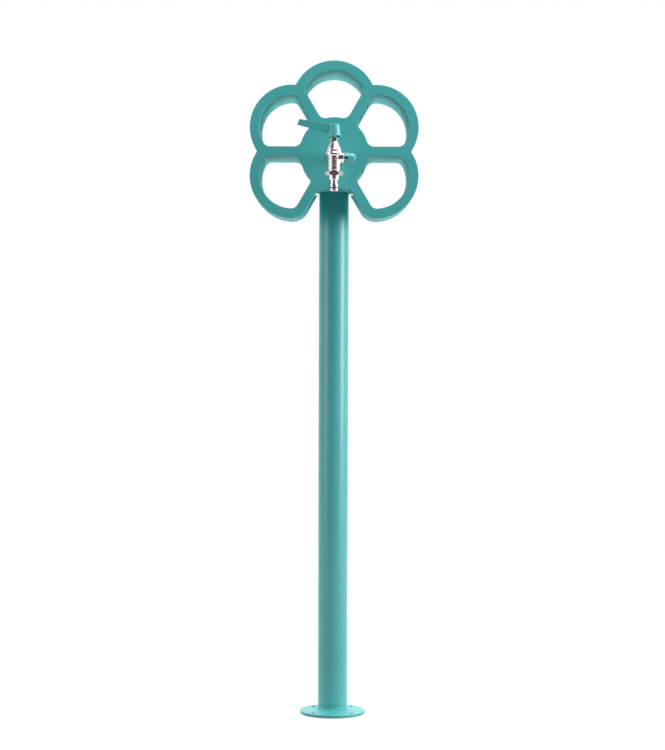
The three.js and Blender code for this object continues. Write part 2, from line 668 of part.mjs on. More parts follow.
// What lies along the side boss, from the ball's cavity out: plug, seal, gland nut.
const sidePlugStart = BALL_CAVITY_R + GAP;
const sideSpindleStart = sidePlugStart + SIDE_PLUG_T + GAP;
const sideSealStart = sideSpindleStart + GAP;
const sideSealEnd = sideSealStart + SIDE_SEAL_L;
const sideNutStart = sideSealEnd + GAP;
const sideBossEnd = sideNutStart + SIDE_NUT_T;

function tapBody() {
  const grooves = BARREL_GROOVES.flatMap((z) => [
    [BARREL_R, z - GROOVE_W / 2],
    [BARREL_R - GROOVE_DEPTH, z - GROOVE_W / 2],
    [BARREL_R - GROOVE_DEPTH, z + GROOVE_W / 2],
    [BARREL_R, z + GROOVE_W / 2],
  ]);
  const bottom = BARREL_BOTTOM - SPIGOT_L;
  const barrel = turned([
    [0, bottom],
    [SPIGOT_R, bottom],
    [SPIGOT_R, BARREL_BOTTOM],
    [BARREL_R, BARREL_BOTTOM],
    ...grooves,
    [BARREL_R, COLLAR_BOTTOM - COLLAR_CHAMFER],
    [COLLAR_R, COLLAR_BOTTOM],
    [COLLAR_R, COLLAR_TOP],
    [SHOULDER_R, COLLAR_TOP + SHOULDER_SLOPE],
    [SHOULDER_R, BODY_TOP],
    [0, BODY_TOP],
  ]);
  const inletBoss = alongY(rod(INLET_BOSS_R, 0, INLET_BOSS_L, 28));
  const sideBoss = alongX(rod(SIDE_BOSS_R, 0, sideBossEnd, 24)).translate(0, 0, SIDE_AXIS_Z);
  const cavity = rod(BALL_CAVITY_R, outletSeatBottom - GAP, BODY_TOP + THROUGH, 24);
  const outlet = rod(OUTLET_BORE_R, bottom - THROUGH, 0, 20);
  const inletBore = alongY(rod(TAIL_IN_BOSS_R + GAP, 0, INLET_BOSS_L + THROUGH, 28));
  const sideBore = alongX(rod(SIDE_BORE_R, 0, sideBossEnd + THROUGH, 20));
  const nutSeat = alongX(rod(SIDE_NUT_R + GAP, sideNutStart - GAP, sideBossEnd + THROUGH, 24));
  return cut(
    joined(barrel, inletBoss, sideBoss),
    cavity,
    outlet,
    inletBore,
    sideBore.translate(0, 0, SIDE_AXIS_Z),
    nutSeat.translate(0, 0, SIDE_AXIS_Z),
  );
}
place(tap, 'tap_body', tapBody(), CHROME);

// The ball's side port faces +X while the lever points left, which is shut.
function valveBall() {
  const port = alongX(rod(BALL_PORT_R, 0, BALL_R + THROUGH, 16));
  const drop = rod(BALL_PORT_R, -BALL_R - THROUGH, 0, 16);
  const slot = rod(SPINDLE_TIP_R + GAP, BALL_R - SPINDLE_TIP_L, BALL_R + THROUGH, 12);
  return cut(ball(BALL_R, 20), port, drop, ball(BALL_PORT_R, 16), slot);
}
place(tap, 'valve_ball', valveBall(), CHROME);

function ballSeat(outerR, near, far) {
  const blank = ring(BALL_PORT_R + SEAT_BEYOND_PORT, outerR, near, far, 24);
  return cut(blank, ball(BALL_R + GAP, 20));
}
const outletSeat = ballSeat(BALL_CAVITY_R - GAP, outletSeatBottom, outletSeatTop);
place(tap, 'ball_seat_outlet', outletSeat, PTFE);
const inletSeatBack = BALL_R + TAIL_FROM_BALL - GAP;
const inletSeat = ballSeat(INLET_SEAT_R, inletSeatBack - INLET_SEAT_T, inletSeatBack);
place(tap, 'ball_seat_inlet', alongY(inletSeat), PTFE);

// ---- Bonnet, gland and spindle -----------------------------------------------------------
const bonnetBottom = BODY_TOP + GAP;
const bonnetTop = bonnetBottom + BONNET_H;
const packingR = SPINDLE_R + GAP + PACKING_WALL;

function bonnet() {
  const footR = SHOULDER_R - BONNET_STEP;
  const headR = packingR + GAP + BONNET_WALL;
  const coneBottom = bonnetBottom + BONNET_FOOT_H;
  const coneTop = bonnetTop - BONNET_FOOT_H;
  const coneAt = (z) => footR + ((headR - footR) * (z - coneBottom)) / (coneTop - coneBottom);
  const groove = coneBottom + BONNET_LAND;
  const grooveTop = groove + BONNET_GROOVE;
  const grooveR = coneAt(groove) - BONNET_GROOVE;
  return turned([
    [SPINDLE_R + GAP, bonnetBottom],
    [footR, bonnetBottom],
    [footR, coneBottom],
    [coneAt(groove), groove],
    [grooveR, groove],
    [grooveR, grooveTop],
    [coneAt(grooveTop), grooveTop],
    [headR, coneTop],
    [headR - BONNET_WALL / 2, bonnetTop],
    [packingR + GAP, bonnetTop],
    [packingR + GAP, bonnetTop - PACKING_H - GAP],
    [SPINDLE_R + GAP, bonnetTop - PACKING_H - GAP],
    [SPINDLE_R + GAP, bonnetBottom],
  ]);
}
place(tap, 'tap_bonnet', bonnet(), CHROME);

const packing = ring(SPINDLE_R + GAP, packingR, bonnetTop - PACKING_H, bonnetTop - GAP, 20);
place(tap, 'spindle_seal', packing, PTFE);

const glandBottom = bonnetTop + GAP;
const glandTop = glandBottom + GLAND_H;
const glandBore = rod(SPINDLE_R + GAP, glandBottom - THROUGH, glandTop + THROUGH, 20);
const glandFlats = 2 * (SPINDLE_R + GLAND_WALL);
place(tap, 'gland_nut', cut(hexagon(glandFlats, glandBottom, glandTop), glandBore), CHROME);

const spindleTip = BALL_R - SPINDLE_TIP_L + GAP;
const spindleShoulder = BALL_R + GAP;
const leverBottom = glandTop - LEVER_OVER_GLAND;
const leverTop = leverBottom + LEVER_HUB_H;
const leverSocketBottom = leverBottom + LEVER_SKIRT_DEPTH;
const spindleTop = leverSocketBottom + LEVER_SOCKET_DEPTH - GAP;

function spindle() {
  const threadR = HANDLE_SCREW_R + GAP;
  return turned([
    [0, spindleTip],
    [SPINDLE_TIP_R, spindleTip],
    [SPINDLE_TIP_R, spindleShoulder],
    [SPINDLE_R, spindleShoulder],
    [SPINDLE_R, spindleTop],
    [threadR, spindleTop],
    [threadR, leverSocketBottom],
    [0, leverSocketBottom],
  ], 20);
}
place(tap, 'valve_spindle', spindle(), STAINLESS);

// ---- Main lever --------------------------------------------------------------------------
const screwHeadBottom = leverTop - HANDLE_SCREW_HEAD_T - GAP;

// The blade, pointing to -X: its side view and its plan, both extruded, give their common solid.
function leverBlade() {
  const rise = Math.tan(radians(LEVER_TOP_RISE));
  const under = Math.tan(radians(LEVER_UNDER_RISE));
  const root = LEVER_HUB_TOP_R;
  const length = LEVER_REACH - root;
  const rootBottom = leverTop - LEVER_ROOT_H;
  const sideView = [
    point(0, leverTop),
    point(-root, leverTop),
    point(-LEVER_REACH + LEVER_TIP_LEAN, leverTop + rise * (length - LEVER_TIP_LEAN)),
    point(-LEVER_REACH, rootBottom + under * length),
    point(-root, rootBottom),
    point(0, rootBottom),
  ];
  const tipR = LEVER_TIP_W / 2;
  const planTip = arc(point(-LEVER_REACH + tipR, 0), tipR, 90, 270, 10);
  const plan = [point(0, -LEVER_ROOT_W / 2), point(0, LEVER_ROOT_W / 2), ...planTip];
  const side = upright(sideView, [], -LEVER_ROOT_W, 2 * LEVER_ROOT_W);
  const above = new THREE.ExtrudeGeometry(new THREE.Shape(plan), {
    depth: LEVER_REACH,
    bevelEnabled: false,
  });
  return common(side, above.translate(0, 0, leverTop - LEVER_REACH / 2));
}

function lever() {
  const hub = turned([
    [0, leverBottom],
    [LEVER_HUB_BOTTOM_R, leverBottom],
    [LEVER_HUB_TOP_R, leverTop - LEVER_CHAMFER],
    [LEVER_HUB_TOP_R - LEVER_CHAMFER, leverTop],
    [0, leverTop],
  ]);
  const skirtR = LEVER_HUB_BOTTOM_R - LEVER_SKIRT_WALL;
  const skirt = rod(skirtR, leverBottom - THROUGH, leverSocketBottom, 28);
  const socketBore = rod(SPINDLE_R + GAP, leverBottom, leverSocketBottom + LEVER_SOCKET_DEPTH, 20);
  const screwHole = rod(HANDLE_SCREW_R + GAP, leverBottom, leverTop + THROUGH, 12);
  const headRecess = rod(HANDLE_SCREW_HEAD_R + GAP, screwHeadBottom - GAP, leverTop + THROUGH, 20);
  const window = block(LEVER_HUB_BOTTOM_R + THROUGH, STOP_WINDOW_W, 2 * STOP_WINDOW_H)
    .translate((LEVER_HUB_BOTTOM_R + THROUGH) / 2, 0, leverBottom)
    .rotateZ(radians(STOP_WINDOW_ANGLE));
  return cut(joined(hub, leverBlade()), skirt, socketBore, screwHole, headRecess, window);
}
place(tap, 'lever_handle', lever(), TEAL_COAT);

const handleScrew = turned([
  [0, leverSocketBottom + GAP],
  [HANDLE_SCREW_R, leverSocketBottom + GAP],
  [HANDLE_SCREW_R, screwHeadBottom],
  [HANDLE_SCREW_HEAD_R, screwHeadBottom],
  [HANDLE_SCREW_HEAD_R, screwHeadBottom + HANDLE_SCREW_HEAD_T - SCREW_CHAMFER],
  [HANDLE_SCREW_HEAD_R - SCREW_CHAMFER, screwHeadBottom + HANDLE_SCREW_HEAD_T],
  [0, screwHeadBottom + HANDLE_SCREW_HEAD_T],
], 16);
place(tap, 'handle_screw', handleScrew, STAINLESS);

// ---- Outlet ------------------------------------------------------------------------------
const unionTop = BARREL_BOTTOM - UNION_BELOW_BARREL;
const unionBottom = unionTop - UNION_H;
const flangeBottom = unionBottom + UNION_LIP_T + GAP;
const flangeTop = flangeBottom + NIPPLE_FLANGE_T;

function unionNut() {
  const flatR = SPIGOT_R + UNION_WALL;
  const cornerR = flatR / Math.cos(Math.PI / 6);
  const chamfered = turned([
    [0, unionBottom],
    [flatR, unionBottom],
    [cornerR, unionBottom + UNION_CHAMFER],
    [cornerR, unionTop - UNION_CHAMFER],
    [flatR, unionTop],
    [0, unionTop],
  ], 36);
  const lip = rod(NIPPLE_SHANK_R + GAP, unionBottom - THROUGH, unionTop, 28);
  const thread = rod(UNION_THREAD_R, unionBottom + UNION_LIP_T, unionTop + THROUGH, 32);
  return cut(common(hexagon(2 * flatR, unionBottom, unionTop), chamfered), lip, thread);
}
place(tap, 'outlet_nut', unionNut(), CHROME);

const washerBottom = flangeTop + GAP;
const washer = ring(OUTLET_BORE_R, NIPPLE_FLANGE_R, washerBottom, washerBottom + WASHER_T, 24);
place(tap, 'outlet_washer', washer, RUBBER);

const shankBottom = flangeBottom - NIPPLE_SHANK_L;
const neckBottom = shankBottom - NIPPLE_NECK_L - NIPPLE_SLOPE;
const nippleBottom = neckBottom - NIPPLE_TIP_L;
const sealZ = nippleBottom + NIPPLE_GROOVE_FROM_END;

function hoseNipple() {
  return turned([
    [NIPPLE_BORE_R, nippleBottom],
    [NIPPLE_TIP_R - NIPPLE_CHAMFER, nippleBottom],
    [NIPPLE_TIP_R, nippleBottom + NIPPLE_CHAMFER],
    [NIPPLE_TIP_R, sealZ - NIPPLE_GROOVE_W / 2],
    [NIPPLE_GROOVE_R, sealZ - NIPPLE_GROOVE_W / 2],
    [NIPPLE_GROOVE_R, sealZ + NIPPLE_GROOVE_W / 2],
    [NIPPLE_TIP_R, sealZ + NIPPLE_GROOVE_W / 2],
    [NIPPLE_TIP_R, neckBottom - NIPPLE_CHAMFER],
    [NIPPLE_NECK_R, neckBottom],
    [NIPPLE_NECK_R, shankBottom - NIPPLE_SLOPE],
    [NIPPLE_SHANK_R, shankBottom + NIPPLE_CHAMFER],
    [NIPPLE_SHANK_R, flangeBottom],
    [NIPPLE_FLANGE_R, flangeBottom],
    [NIPPLE_FLANGE_R, flangeTop],
    [NIPPLE_BORE_R, flangeTop],
    [NIPPLE_BORE_R, nippleBottom],
  ]);
}
place(tap, 'hose_nipple', hoseNipple(), CHROME);

const sealR = NIPPLE_GROOVE_R + NIPPLE_SEAL_CLEARANCE + NIPPLE_SEAL_R;
const nippleSeal = new THREE.TorusGeometry(sealR, NIPPLE_SEAL_R, 6, 20);
place(tap, 'nipple_seal', nippleSeal, RUBBER, 0, 0, sealZ);

// ---- Side valve --------------------------------------------------------------------------
const sideHandleStart = Math.max(sideBossEnd, COLLAR_R) + GAP;
const sideHandleEnd = sideHandleStart + SIDE_HANDLE_L;
const sideSkirtEnd = sideHandleStart + SIDE_SKIRT_DEPTH;
const sideScrewHead = sideHandleEnd - SIDE_SCREW_HEAD_T - GAP;
const sideSpindleEnd = sideScrewHead - SIDE_SPINDLE_TO_SCREW_HEAD;

const sideNut = cut(
  rod(SIDE_NUT_R, sideNutStart, sideBossEnd, 24),
  rod(SIDE_SPINDLE_R + GAP, 0, sideHandleEnd, 16),
);
place(sideValve, 'side_gland_nut', alongX(sideNut), CHROME);

const sidePlug = rod(SIDE_BORE_R - GAP, sidePlugStart, sidePlugStart + SIDE_PLUG_T, 20);
place(sideValve, 'side_plug', alongX(sidePlug), BRASS);

const sideSeal = ring(SIDE_SPINDLE_R + GAP, SIDE_BORE_R - GAP, sideSealStart, sideSealEnd, 20);
place(sideValve, 'side_spindle_seal', alongX(sideSeal), RUBBER);

const sideSpindle = turned([
  [0, sideSpindleStart],
  [SIDE_SPINDLE_R, sideSpindleStart],
  [SIDE_SPINDLE_R, sideSpindleEnd],
  [SIDE_SCREW_R + GAP, sideSpindleEnd],
  [SIDE_SCREW_R + GAP, sideSkirtEnd],
  [0, sideSkirtEnd],
], 16);
place(sideValve, 'side_spindle', alongX(sideSpindle), STAINLESS);

// A skirted hub on +X with a short wing that points back to +Y.
function sideHandle() {
  const hub = alongX(turned([
    [0, sideHandleStart],
    [SIDE_HANDLE_ROOT_R, sideHandleStart],
    [SIDE_HANDLE_MID_R, sideHandleStart + SIDE_HANDLE_MID_L],
    [SIDE_HANDLE_END_R + SIDE_HANDLE_CHAMFER, sideHandleEnd - SIDE_HANDLE_CHAMFER],
    [SIDE_HANDLE_END_R, sideHandleEnd],
    [0, sideHandleEnd],
  ], 28));
  const wingEnd = sideHandleEnd - SIDE_HANDLE_CHAMFER;
  const tipR = SIDE_WING_W / 2;
  const wingView = [
    point(-tipR, 0),
    point(tipR, 0),
    ...arc(point(0, SIDE_WING_REACH - tipR), tipR, 0, 180, 10),
  ];
  const wing = new THREE.ExtrudeGeometry(new THREE.Shape(wingView), {
    depth: SIDE_WING_T,
    bevelEnabled: false,
  }).rotateY(Math.PI / 2).translate(wingEnd - SIDE_WING_T, 0, 0);
  const skirt = rod(SIDE_HANDLE_ROOT_R - SIDE_SKIRT_WALL, 0, sideSkirtEnd, 24);
  const bore = rod(SIDE_SPINDLE_R + GAP, 0, sideSpindleEnd + GAP, 16);
  const screwHole = rod(SIDE_SCREW_R + GAP, 0, sideHandleEnd + THROUGH, 12);
  const recess = rod(SIDE_SCREW_HEAD_R + GAP, sideScrewHead - GAP, sideHandleEnd + THROUGH, 16);
  const window = block(SIDE_WINDOW_L, SIDE_HANDLE_ROOT_R + THROUGH, SIDE_WINDOW_H).translate(
    sideHandleStart + SIDE_WINDOW_L / 2 - THROUGH,
    -(SIDE_HANDLE_ROOT_R + THROUGH) / 2,
    0,
  );
  const tools = [skirt, bore, screwHole, recess].map(alongX);
  return cut(joined(hub, wing), ...tools, window);
}
place(sideValve, 'side_handle', sideHandle(), TEAL_COAT);

const sideScrew = turned([
  [0, sideSkirtEnd + GAP],
  [SIDE_SCREW_R, sideSkirtEnd + GAP],
  [SIDE_SCREW_R, sideScrewHead],
  [SIDE_SCREW_HEAD_R, sideScrewHead],
  [SIDE_SCREW_HEAD_R, sideScrewHead + SIDE_SCREW_HEAD_T],
  [0, sideScrewHead + SIDE_SCREW_HEAD_T],
], 16);
place(sideValve, 'side_handle_screw', alongX(sideScrew), STAINLESS);

export default fountain;
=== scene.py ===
import json
import math

import bmesh
import bpy
from mathutils import Matrix, Vector


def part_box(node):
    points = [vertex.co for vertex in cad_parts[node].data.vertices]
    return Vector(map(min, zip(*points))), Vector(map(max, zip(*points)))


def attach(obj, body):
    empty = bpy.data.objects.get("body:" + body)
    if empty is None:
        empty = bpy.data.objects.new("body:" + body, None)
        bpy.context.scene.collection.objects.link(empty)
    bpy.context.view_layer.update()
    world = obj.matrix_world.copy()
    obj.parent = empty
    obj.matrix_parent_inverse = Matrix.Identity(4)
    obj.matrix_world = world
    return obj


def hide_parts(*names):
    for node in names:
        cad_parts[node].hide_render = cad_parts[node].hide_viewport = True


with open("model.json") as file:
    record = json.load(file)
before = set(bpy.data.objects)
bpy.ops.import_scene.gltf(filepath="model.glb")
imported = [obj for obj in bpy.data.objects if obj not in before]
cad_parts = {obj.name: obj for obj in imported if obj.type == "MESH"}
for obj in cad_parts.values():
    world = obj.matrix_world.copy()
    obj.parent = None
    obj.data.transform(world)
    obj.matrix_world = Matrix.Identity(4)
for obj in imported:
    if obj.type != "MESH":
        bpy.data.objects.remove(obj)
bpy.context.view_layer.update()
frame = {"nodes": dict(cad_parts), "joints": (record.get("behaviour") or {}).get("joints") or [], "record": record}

MM = 0.001
TURN_STEPS = 72  # faces round a turned piece
TAP_STEPS = 96  # faces round the tap's larger pieces
FILLET_STEPS = 4  # faces across a rounded corner
CORNER_STEPS = 3 * FILLET_STEPS  # faces across a large rounding of an outline
ARC_STEPS = 40  # faces round a petal
TOUCH = 0.01  # closer than this, two points of a mesh are one

# ---- The frame's own places ----------------------------------------------------------------
joints = {joint["name"]: joint for joint in frame["joints"]}
TAP = Vector(joints["main_lever_turn"]["pos_m"])  # where the tap's axis crosses its inlet's
SIDE_AXIS_Z = (joints["side_lever_turn"]["pos_m"][2] - TAP.z) / MM
SIDE = TAP + Vector((0, 0, SIDE_AXIS_Z * MM))  # where the tap's axis crosses the side boss's


def size(node, axis):
    """A CAD node's length along an axis, in millimetres."""
    low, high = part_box(node)
    return (high[axis] - low[axis]) / MM


def place_of(node, axis, share=0.5):
    """A place along a CAD node's box, in metres: 0 is its low side and 1 its high side."""
    low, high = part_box(node)
    return low[axis] + (high[axis] - low[axis]) * share


X, Y, Z = 0, 1, 2
POST_Y = place_of("post_tube", Y)
POST_R = size("post_tube", X) / 2
FOOT_R = size("base_plate", X) / 2
FOOT_T = size("base_plate", Z)
FRONT_Y = place_of("head_front_plate", Y, 0)
BACK_Y = place_of("head_back_plate", Y, 1)
PLATE_T = size("head_front_plate", Y)

# ---- Driving dimensions, in millimetres ------------------------------------------------------
PETAL_COUNT = 5
PETAL_STEP = 60  # degrees between neighbours
PETAL_PITCH = 80  # flower's centre to a petal's centre
PETAL_R = 70
RIM = 16
SPOKE = 16.4
HUB_R = 56.5
OPENING_FILLET = 13
FLOOR_BESIDE_POST = 1
STRIP_T = 2
POST_WALL = 2
POST_WELD = 1.6  # leg of the weld round the post's foot, ground and coated
ANCHOR_HOLES = 4
ANCHOR_HOLE_R = 4
ANCHOR_HOLE_AT = 31.466  # from the foot's centre, in X and in Y
THROUGH_GAP = 0.3  # round a pipe or post that passes through a sheet
TAIL_HOLE_R = 8.4
SERVICE_R = 34
COVER_R = 45
COVER_SCREWS = 4
COVER_SCREW_AT = 39.5
COVER_SCREW_HOLE_R = 2.2
BARREL_R = 11.1
WATERWAY_R = 4.8
CONE_FOOT_Z = 9.3  # heights on the tap are from its inlet's axis
UNION_FLATS = 25.6
GLAND_FLATS = 12.4
NIPPLE_R = 7.25
TAIL_R = 8
LEVER_TOP_Z = 51.3
OUTER_EDGE = 0.7  # rounding of the plates' outer corners, under the coat
JOINT_EDGE = 0.2  # rounding on both sides of a ground weld seam
NOTCH_HALF = PETAL_STEP / 2
SPOKE_BESIDE_NOTCH = NOTCH_HALF - 90
PETALS = [SPOKE_BESIDE_NOTCH + PETAL_STEP * (i + 0.5) for i in range(PETAL_COUNT)]
HEAD = Vector((0, FRONT_Y, place_of("head_front_plate", Z, 1) - (PETAL_PITCH + PETAL_R) * MM))
FLOOR_BELOW_CENTRE = SPOKE / 2 / math.sin(math.radians(NOTCH_HALF)) + (
    POST_R + FLOOR_BESIDE_POST) / math.tan(math.radians(NOTCH_HALF))


# ---- Nodes and finishes ----------------------------------------------------------------------
def colour(code):
    """An sRGB hex colour as linear RGBA."""
    channels = [int(code[i : i + 2], 16) / 255 for i in (1, 3, 5)]
    return [c / 12.92 if c <= 0.04045 else ((c + 0.055) / 1.055) ** 2.4 for c in channels] + [1]


def add(tree, kind, inputs=None, **settings):
    """Adds a node: its settings first, then each input's value or the socket that feeds it."""
    made = tree.nodes.new(kind)
    for name, value in settings.items():
        setattr(made, name, value)
    for name, value in (inputs or {}).items():
        if isinstance(value, bpy.types.NodeSocket):
            tree.links.new(value, made.inputs[name])
        else:
            made.inputs[name].default_value = value
    return made


def finish(name, patterns, tones, roughness, relief, shader):
    """A material from soft random patterns. Each pattern has its grain in millimetres, its detail
    and how much finer it is along X, Y and Z. The tones, the roughness and the relief, which has
    its height in millimetres, follow a pattern; `shader` holds what is the same all over."""
    material = bpy.data.materials.new(name)
    material.use_nodes = True
    tree = material.node_tree
    tree.nodes.clear()
    where = add(tree, "ShaderNodeTexCoord").outputs["Object"]
    clouds = {}
    for pattern, (grain, detail, finer) in patterns.items():
        scaled = add(tree, "ShaderNodeMapping", {"Vector": where, "Scale": finer}).outputs["Vector"]
        inputs = {"Vector": scaled, "Scale": 1 / (grain * MM), "Detail": detail}
        clouds[pattern] = add(tree, "ShaderNodeTexNoise", inputs).outputs["Fac"]
    spread = []
    for pattern, low, high in ((tones[0], 0, 1), roughness):
        inputs = {"Value": clouds[pattern], "From Min": CLOUD_LOW, "From Max": CLOUD_HIGH,
                  "To Min": low, "To Max": high}
        spread.append(add(tree, "ShaderNodeMapRange", inputs).outputs["Result"])
    tone = {0: spread[0], 6: colour(tones[1]), 7: colour(tones[2])}
    bump = {"Height": clouds[relief[0]], "Distance": relief[1] * MM, "Strength": 1}
    principled = add(tree, "ShaderNodeBsdfPrincipled", {
        **shader,
        "Base Color": add(tree, "ShaderNodeMix", tone, data_type="RGBA").outputs[2],
        "Roughness": spread[1],
        "Normal": add(tree, "ShaderNodeBump", bump).outputs["Normal"],
    })
    add(tree, "ShaderNodeOutputMaterial", {"Surface": principled.outputs["BSDF"]})
    return material


CLOUD_LOW, CLOUD_HIGH = 0.3, 0.7  # nearly all of a soft pattern lies between these
EVEN = (1, 1, 1)
FINISHES = {
    # Polyester powder coat on steel, sprayed and baked: an even satin skin over everything, with
    # the shallow orange peel that the melt leaves. The real peel is about 1.5 mm from crest to
    # crest and is drawn at 3 mm, so that it shows.
    "teal_coat": finish(
        "teal_polyester_powder_coat", {"drift": (60, 1, EVEN), "peel": (3, 1, EVEN)},
        tones=("drift", "#4AB6B7", "#4EBBBC"), roughness=("peel", 0.33, 0.38),
        relief=("peel", 0.006), shader={"IOR": 1.5, "Specular IOR Level": 0.9},
    ),
    # Nickel-chromium plate on turned brass: a bright, slightly warm mirror. Polishing marks round
    # the piece widen its highlights a little; they are too fine to show and are drawn 0.2 mm apart.
    "chrome": finish(
        "chrome_plated_brass", {"haze": (6, 3, EVEN), "marks": (1.2, 2, (1, 1, 6))},
        tones=("haze", "#DBD8D5", "#E6E4E2"), roughness=("haze", 0.06, 0.12),
        relief=("marks", 0.002), shader={"Metallic": 1},
    ),
    # Bare turned brass: a warm metal with the lathe's fine rings, about 0.16 mm apart, and darker,
    # handled patches.
    "brass": finish(
        "turned_brass", {"tarnish": (9, 3, EVEN), "rings": (0.8, 2, (0.2, 0.2, 5))},
        tones=("tarnish", "#B8924A", "#CDAA62"), roughness=("tarnish", 0.28, 0.42),
        relief=("rings", 0.006), shader={"Metallic": 1},
    ),
    # Bright zinc plate on steel: a bluish grey metal with the faint blotches of the passivation.
    "zinc_steel": finish(
        "zinc_plated_steel", {"blotch": (4, 4, EVEN)},
        tones=("blotch", "#9DA3A8", "#B9BDBE"), roughness=("blotch", 0.3, 0.45),
        relief=("blotch", 0.004), shader={"Metallic": 1},
    ),
    # Cold-headed stainless steel, tumbled: an even grey metal with short random scratches, drawn
    # 0.7 mm apart, coarser than they are, so that they show.
    "stainless": finish(
        "tumbled_stainless_steel", {"scratches": (0.7, 4, (1, 1, 0.3))},
        tones=("scratches", "#BFC2C4", "#CDCFD0"), roughness=("scratches", 0.2, 0.32),
        relief=("scratches", 0.003), shader={"Metallic": 1},
    ),
    # Moulded nitrile rubber: black, dull, with a dusty bloom in patches.
    "rubber": finish(
        "moulded_nitrile_rubber", {"bloom": (2.5, 4, EVEN)},
        tones=("bloom", "#151516", "#242425"), roughness=("bloom", 0.5, 0.7),
        relief=("bloom", 0.01), shader={"IOR": 1.52},
    ),
    # Turned PTFE: waxy white, with the faint feed marks of the lathe, about 0.3 mm apart.
    "ptfe": finish(
        "turned_ptfe", {"feed": (1, 2, (0.3, 0.3, 3))},
        tones=("feed", "#E9E8E2", "#F3F2EE"), roughness=("feed", 0.4, 0.5),
        relief=("feed", 0.008), shader={"IOR": 1.35},
    ),
    # Extruded polyethylene pipe: milky white, with long shallow streaks that the die leaves.
    "pipe_plastic": finish(
        "extruded_polyethylene_pipe", {"streaks": (2, 2, (1, 1, 0.05))},
        tones=("streaks", "#DEDCD3", "#E8E6DF"), roughness=("streaks", 0.42, 0.52),
        relief=("streaks", 0.02), shader={"IOR": 1.51},
    ),
}
slot_of = {part["node"]: part["material_slot"] for part in frame["record"]["subparts"]}
body_of = {
    node: body for body, nodes in frame["record"]["behaviour"]["bodies"].items() for node in nodes
}
for node, carried in frame["nodes"].items():
    carried.data.materials.clear()
    carried.data.materials.append(FINISHES[slot_of[node]])


# ---- Meshes ----------------------------------------------------------------------------------
STAND_UP = Matrix.Rotation(math.pi / 2, 4, "X")  # what was drawn flat faces -Y
ALONG_X = Matrix.Rotation(math.pi / 2, 4, "Y")
ALONG_Y = Matrix.Rotation(-math.pi / 2, 4, "X")
OFF_SEAM = Matrix.Rotation(math.radians(1.3), 4, "Z")  # keeps a tool's edges off the piece's own


def piece_from(shape, name):
    """A bmesh in millimetres as a new object."""
    bmesh.ops.recalc_face_normals(shape, faces=shape.faces)
    mesh = bpy.data.meshes.new(name)
    shape.to_mesh(mesh)
    shape.free()
    made = bpy.data.objects.new(name, mesh)
    bpy.context.collection.objects.link(made)
    return made


def settled(piece):
    """The piece with its modifiers worked into its mesh."""
    bpy.context.view_layer.update()
    depsgraph = bpy.context.evaluated_depsgraph_get()
    mesh = bpy.data.meshes.new_from_object(piece.evaluated_get(depsgraph), depsgraph=depsgraph)
    piece.modifiers.clear()
    piece.data = mesh
    return piece


def merged(piece, tool, operation):
    """Joins or cuts the piece with a tool, which is used up."""
    boolean = piece.modifiers.new(operation, "BOOLEAN")
    boolean.operation = operation
    boolean.solver = "EXACT"
    boolean.object = tool
    settled(piece)
    bpy.data.objects.remove(tool)
    return piece


def cut(piece, *tools):
    for tool in tools:
        merged(piece, tool, "DIFFERENCE")
    return piece


def joined(piece, *others):
    for other in others:
        merged(piece, other, "UNION")
    return piece


def moved(piece, x=0.0, y=0.0, z=0.0, turn=Matrix.Identity(4)):
    """Turns the piece's mesh, then shifts it, in millimetres."""
    piece.data.transform(Matrix.Translation((x, y, z)) @ turn)
    return piece


def softened(piece, width, angle=30.0):
    """Rounds the sharp edges of a piece made of flat cuts."""
    bevel = piece.modifiers.new("edges", "BEVEL")
    bevel.width = width
    bevel.segments = 2
    bevel.limit_method = "ANGLE"
    bevel.angle_limit = math.radians(angle)
    return settled(piece)


def shown(piece, origin, *nodes, turn=Matrix.Identity(4), sharp=38.0):
    """Puts a piece in the frame, in metres, to stand for its CAD nodes with their finish."""
    mesh = piece.data
    mesh.transform(Matrix.Translation(origin) @ turn @ Matrix.Scale(MM, 4))
    shape = bmesh.new()
    shape.from_mesh(mesh)
    bmesh.ops.remove_doubles(shape, verts=shape.verts, dist=TOUCH * MM)
    bmesh.ops.dissolve_degenerate(shape, edges=shape.edges, dist=TOUCH * MM)
    bmesh.ops.recalc_face_normals(shape, faces=shape.faces)
    shape.to_mesh(mesh)
    shape.free()
    mesh.shade_smooth()
    mesh.set_sharp_from_angle(angle=math.radians(sharp))
    weighted = piece.modifiers.new("flat_faces_stay_flat", "WEIGHTED_NORMAL")
    weighted.weight = 100
    weighted.keep_sharp = True
    settled(piece)
    slot = slot_of[nodes[0]]
    piece.data.materials.clear()
    piece.data.materials.append(FINISHES[slot])
    for polygon in piece.data.polygons:
        polygon.material_index = 0
    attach(piece, body_of[nodes[0]])
    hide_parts(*nodes)
    return piece


# ---- Outlines, in millimetres ------------------------------------------------------------------
def polar(radius, degrees):
    angle = math.radians(degrees)
    return Vector((radius * math.cos(angle), radius * math.sin(angle)))


def arc(centre, radius, start, end, steps):
    return [centre + polar(radius, start + (end - start) * i / steps) for i in range(steps + 1)]


def angle_of(vector):
    return math.degrees(math.atan2(vector.y, vector.x))


def rounded(corners):
    """A closed outline through corners (x, y, fillet), each rounded by its fillet."""
    points = []
    for i, (x, y, fillet) in enumerate(corners):
        here = Vector((x, y))
        if not fillet:
            points.append(here)
            continue
        back = (Vector(corners[i - 1][:2]) - here).normalized()
        ahead = (Vector(corners[(i + 1) % len(corners)][:2]) - here).normalized()
        half = back.angle(ahead) / 2
        centre = here + (back + ahead).normalized() * fillet / math.sin(half)
        first = here + back * fillet / math.tan(half) - centre
        turn = math.copysign(math.pi - 2 * half, back.cross(ahead))
        for k in range(FILLET_STEPS + 1):
            spoke = first.copy()
            spoke.rotate(Matrix.Rotation(-turn * k / FILLET_STEPS, 2))
            points.append(centre + spoke)
    return points


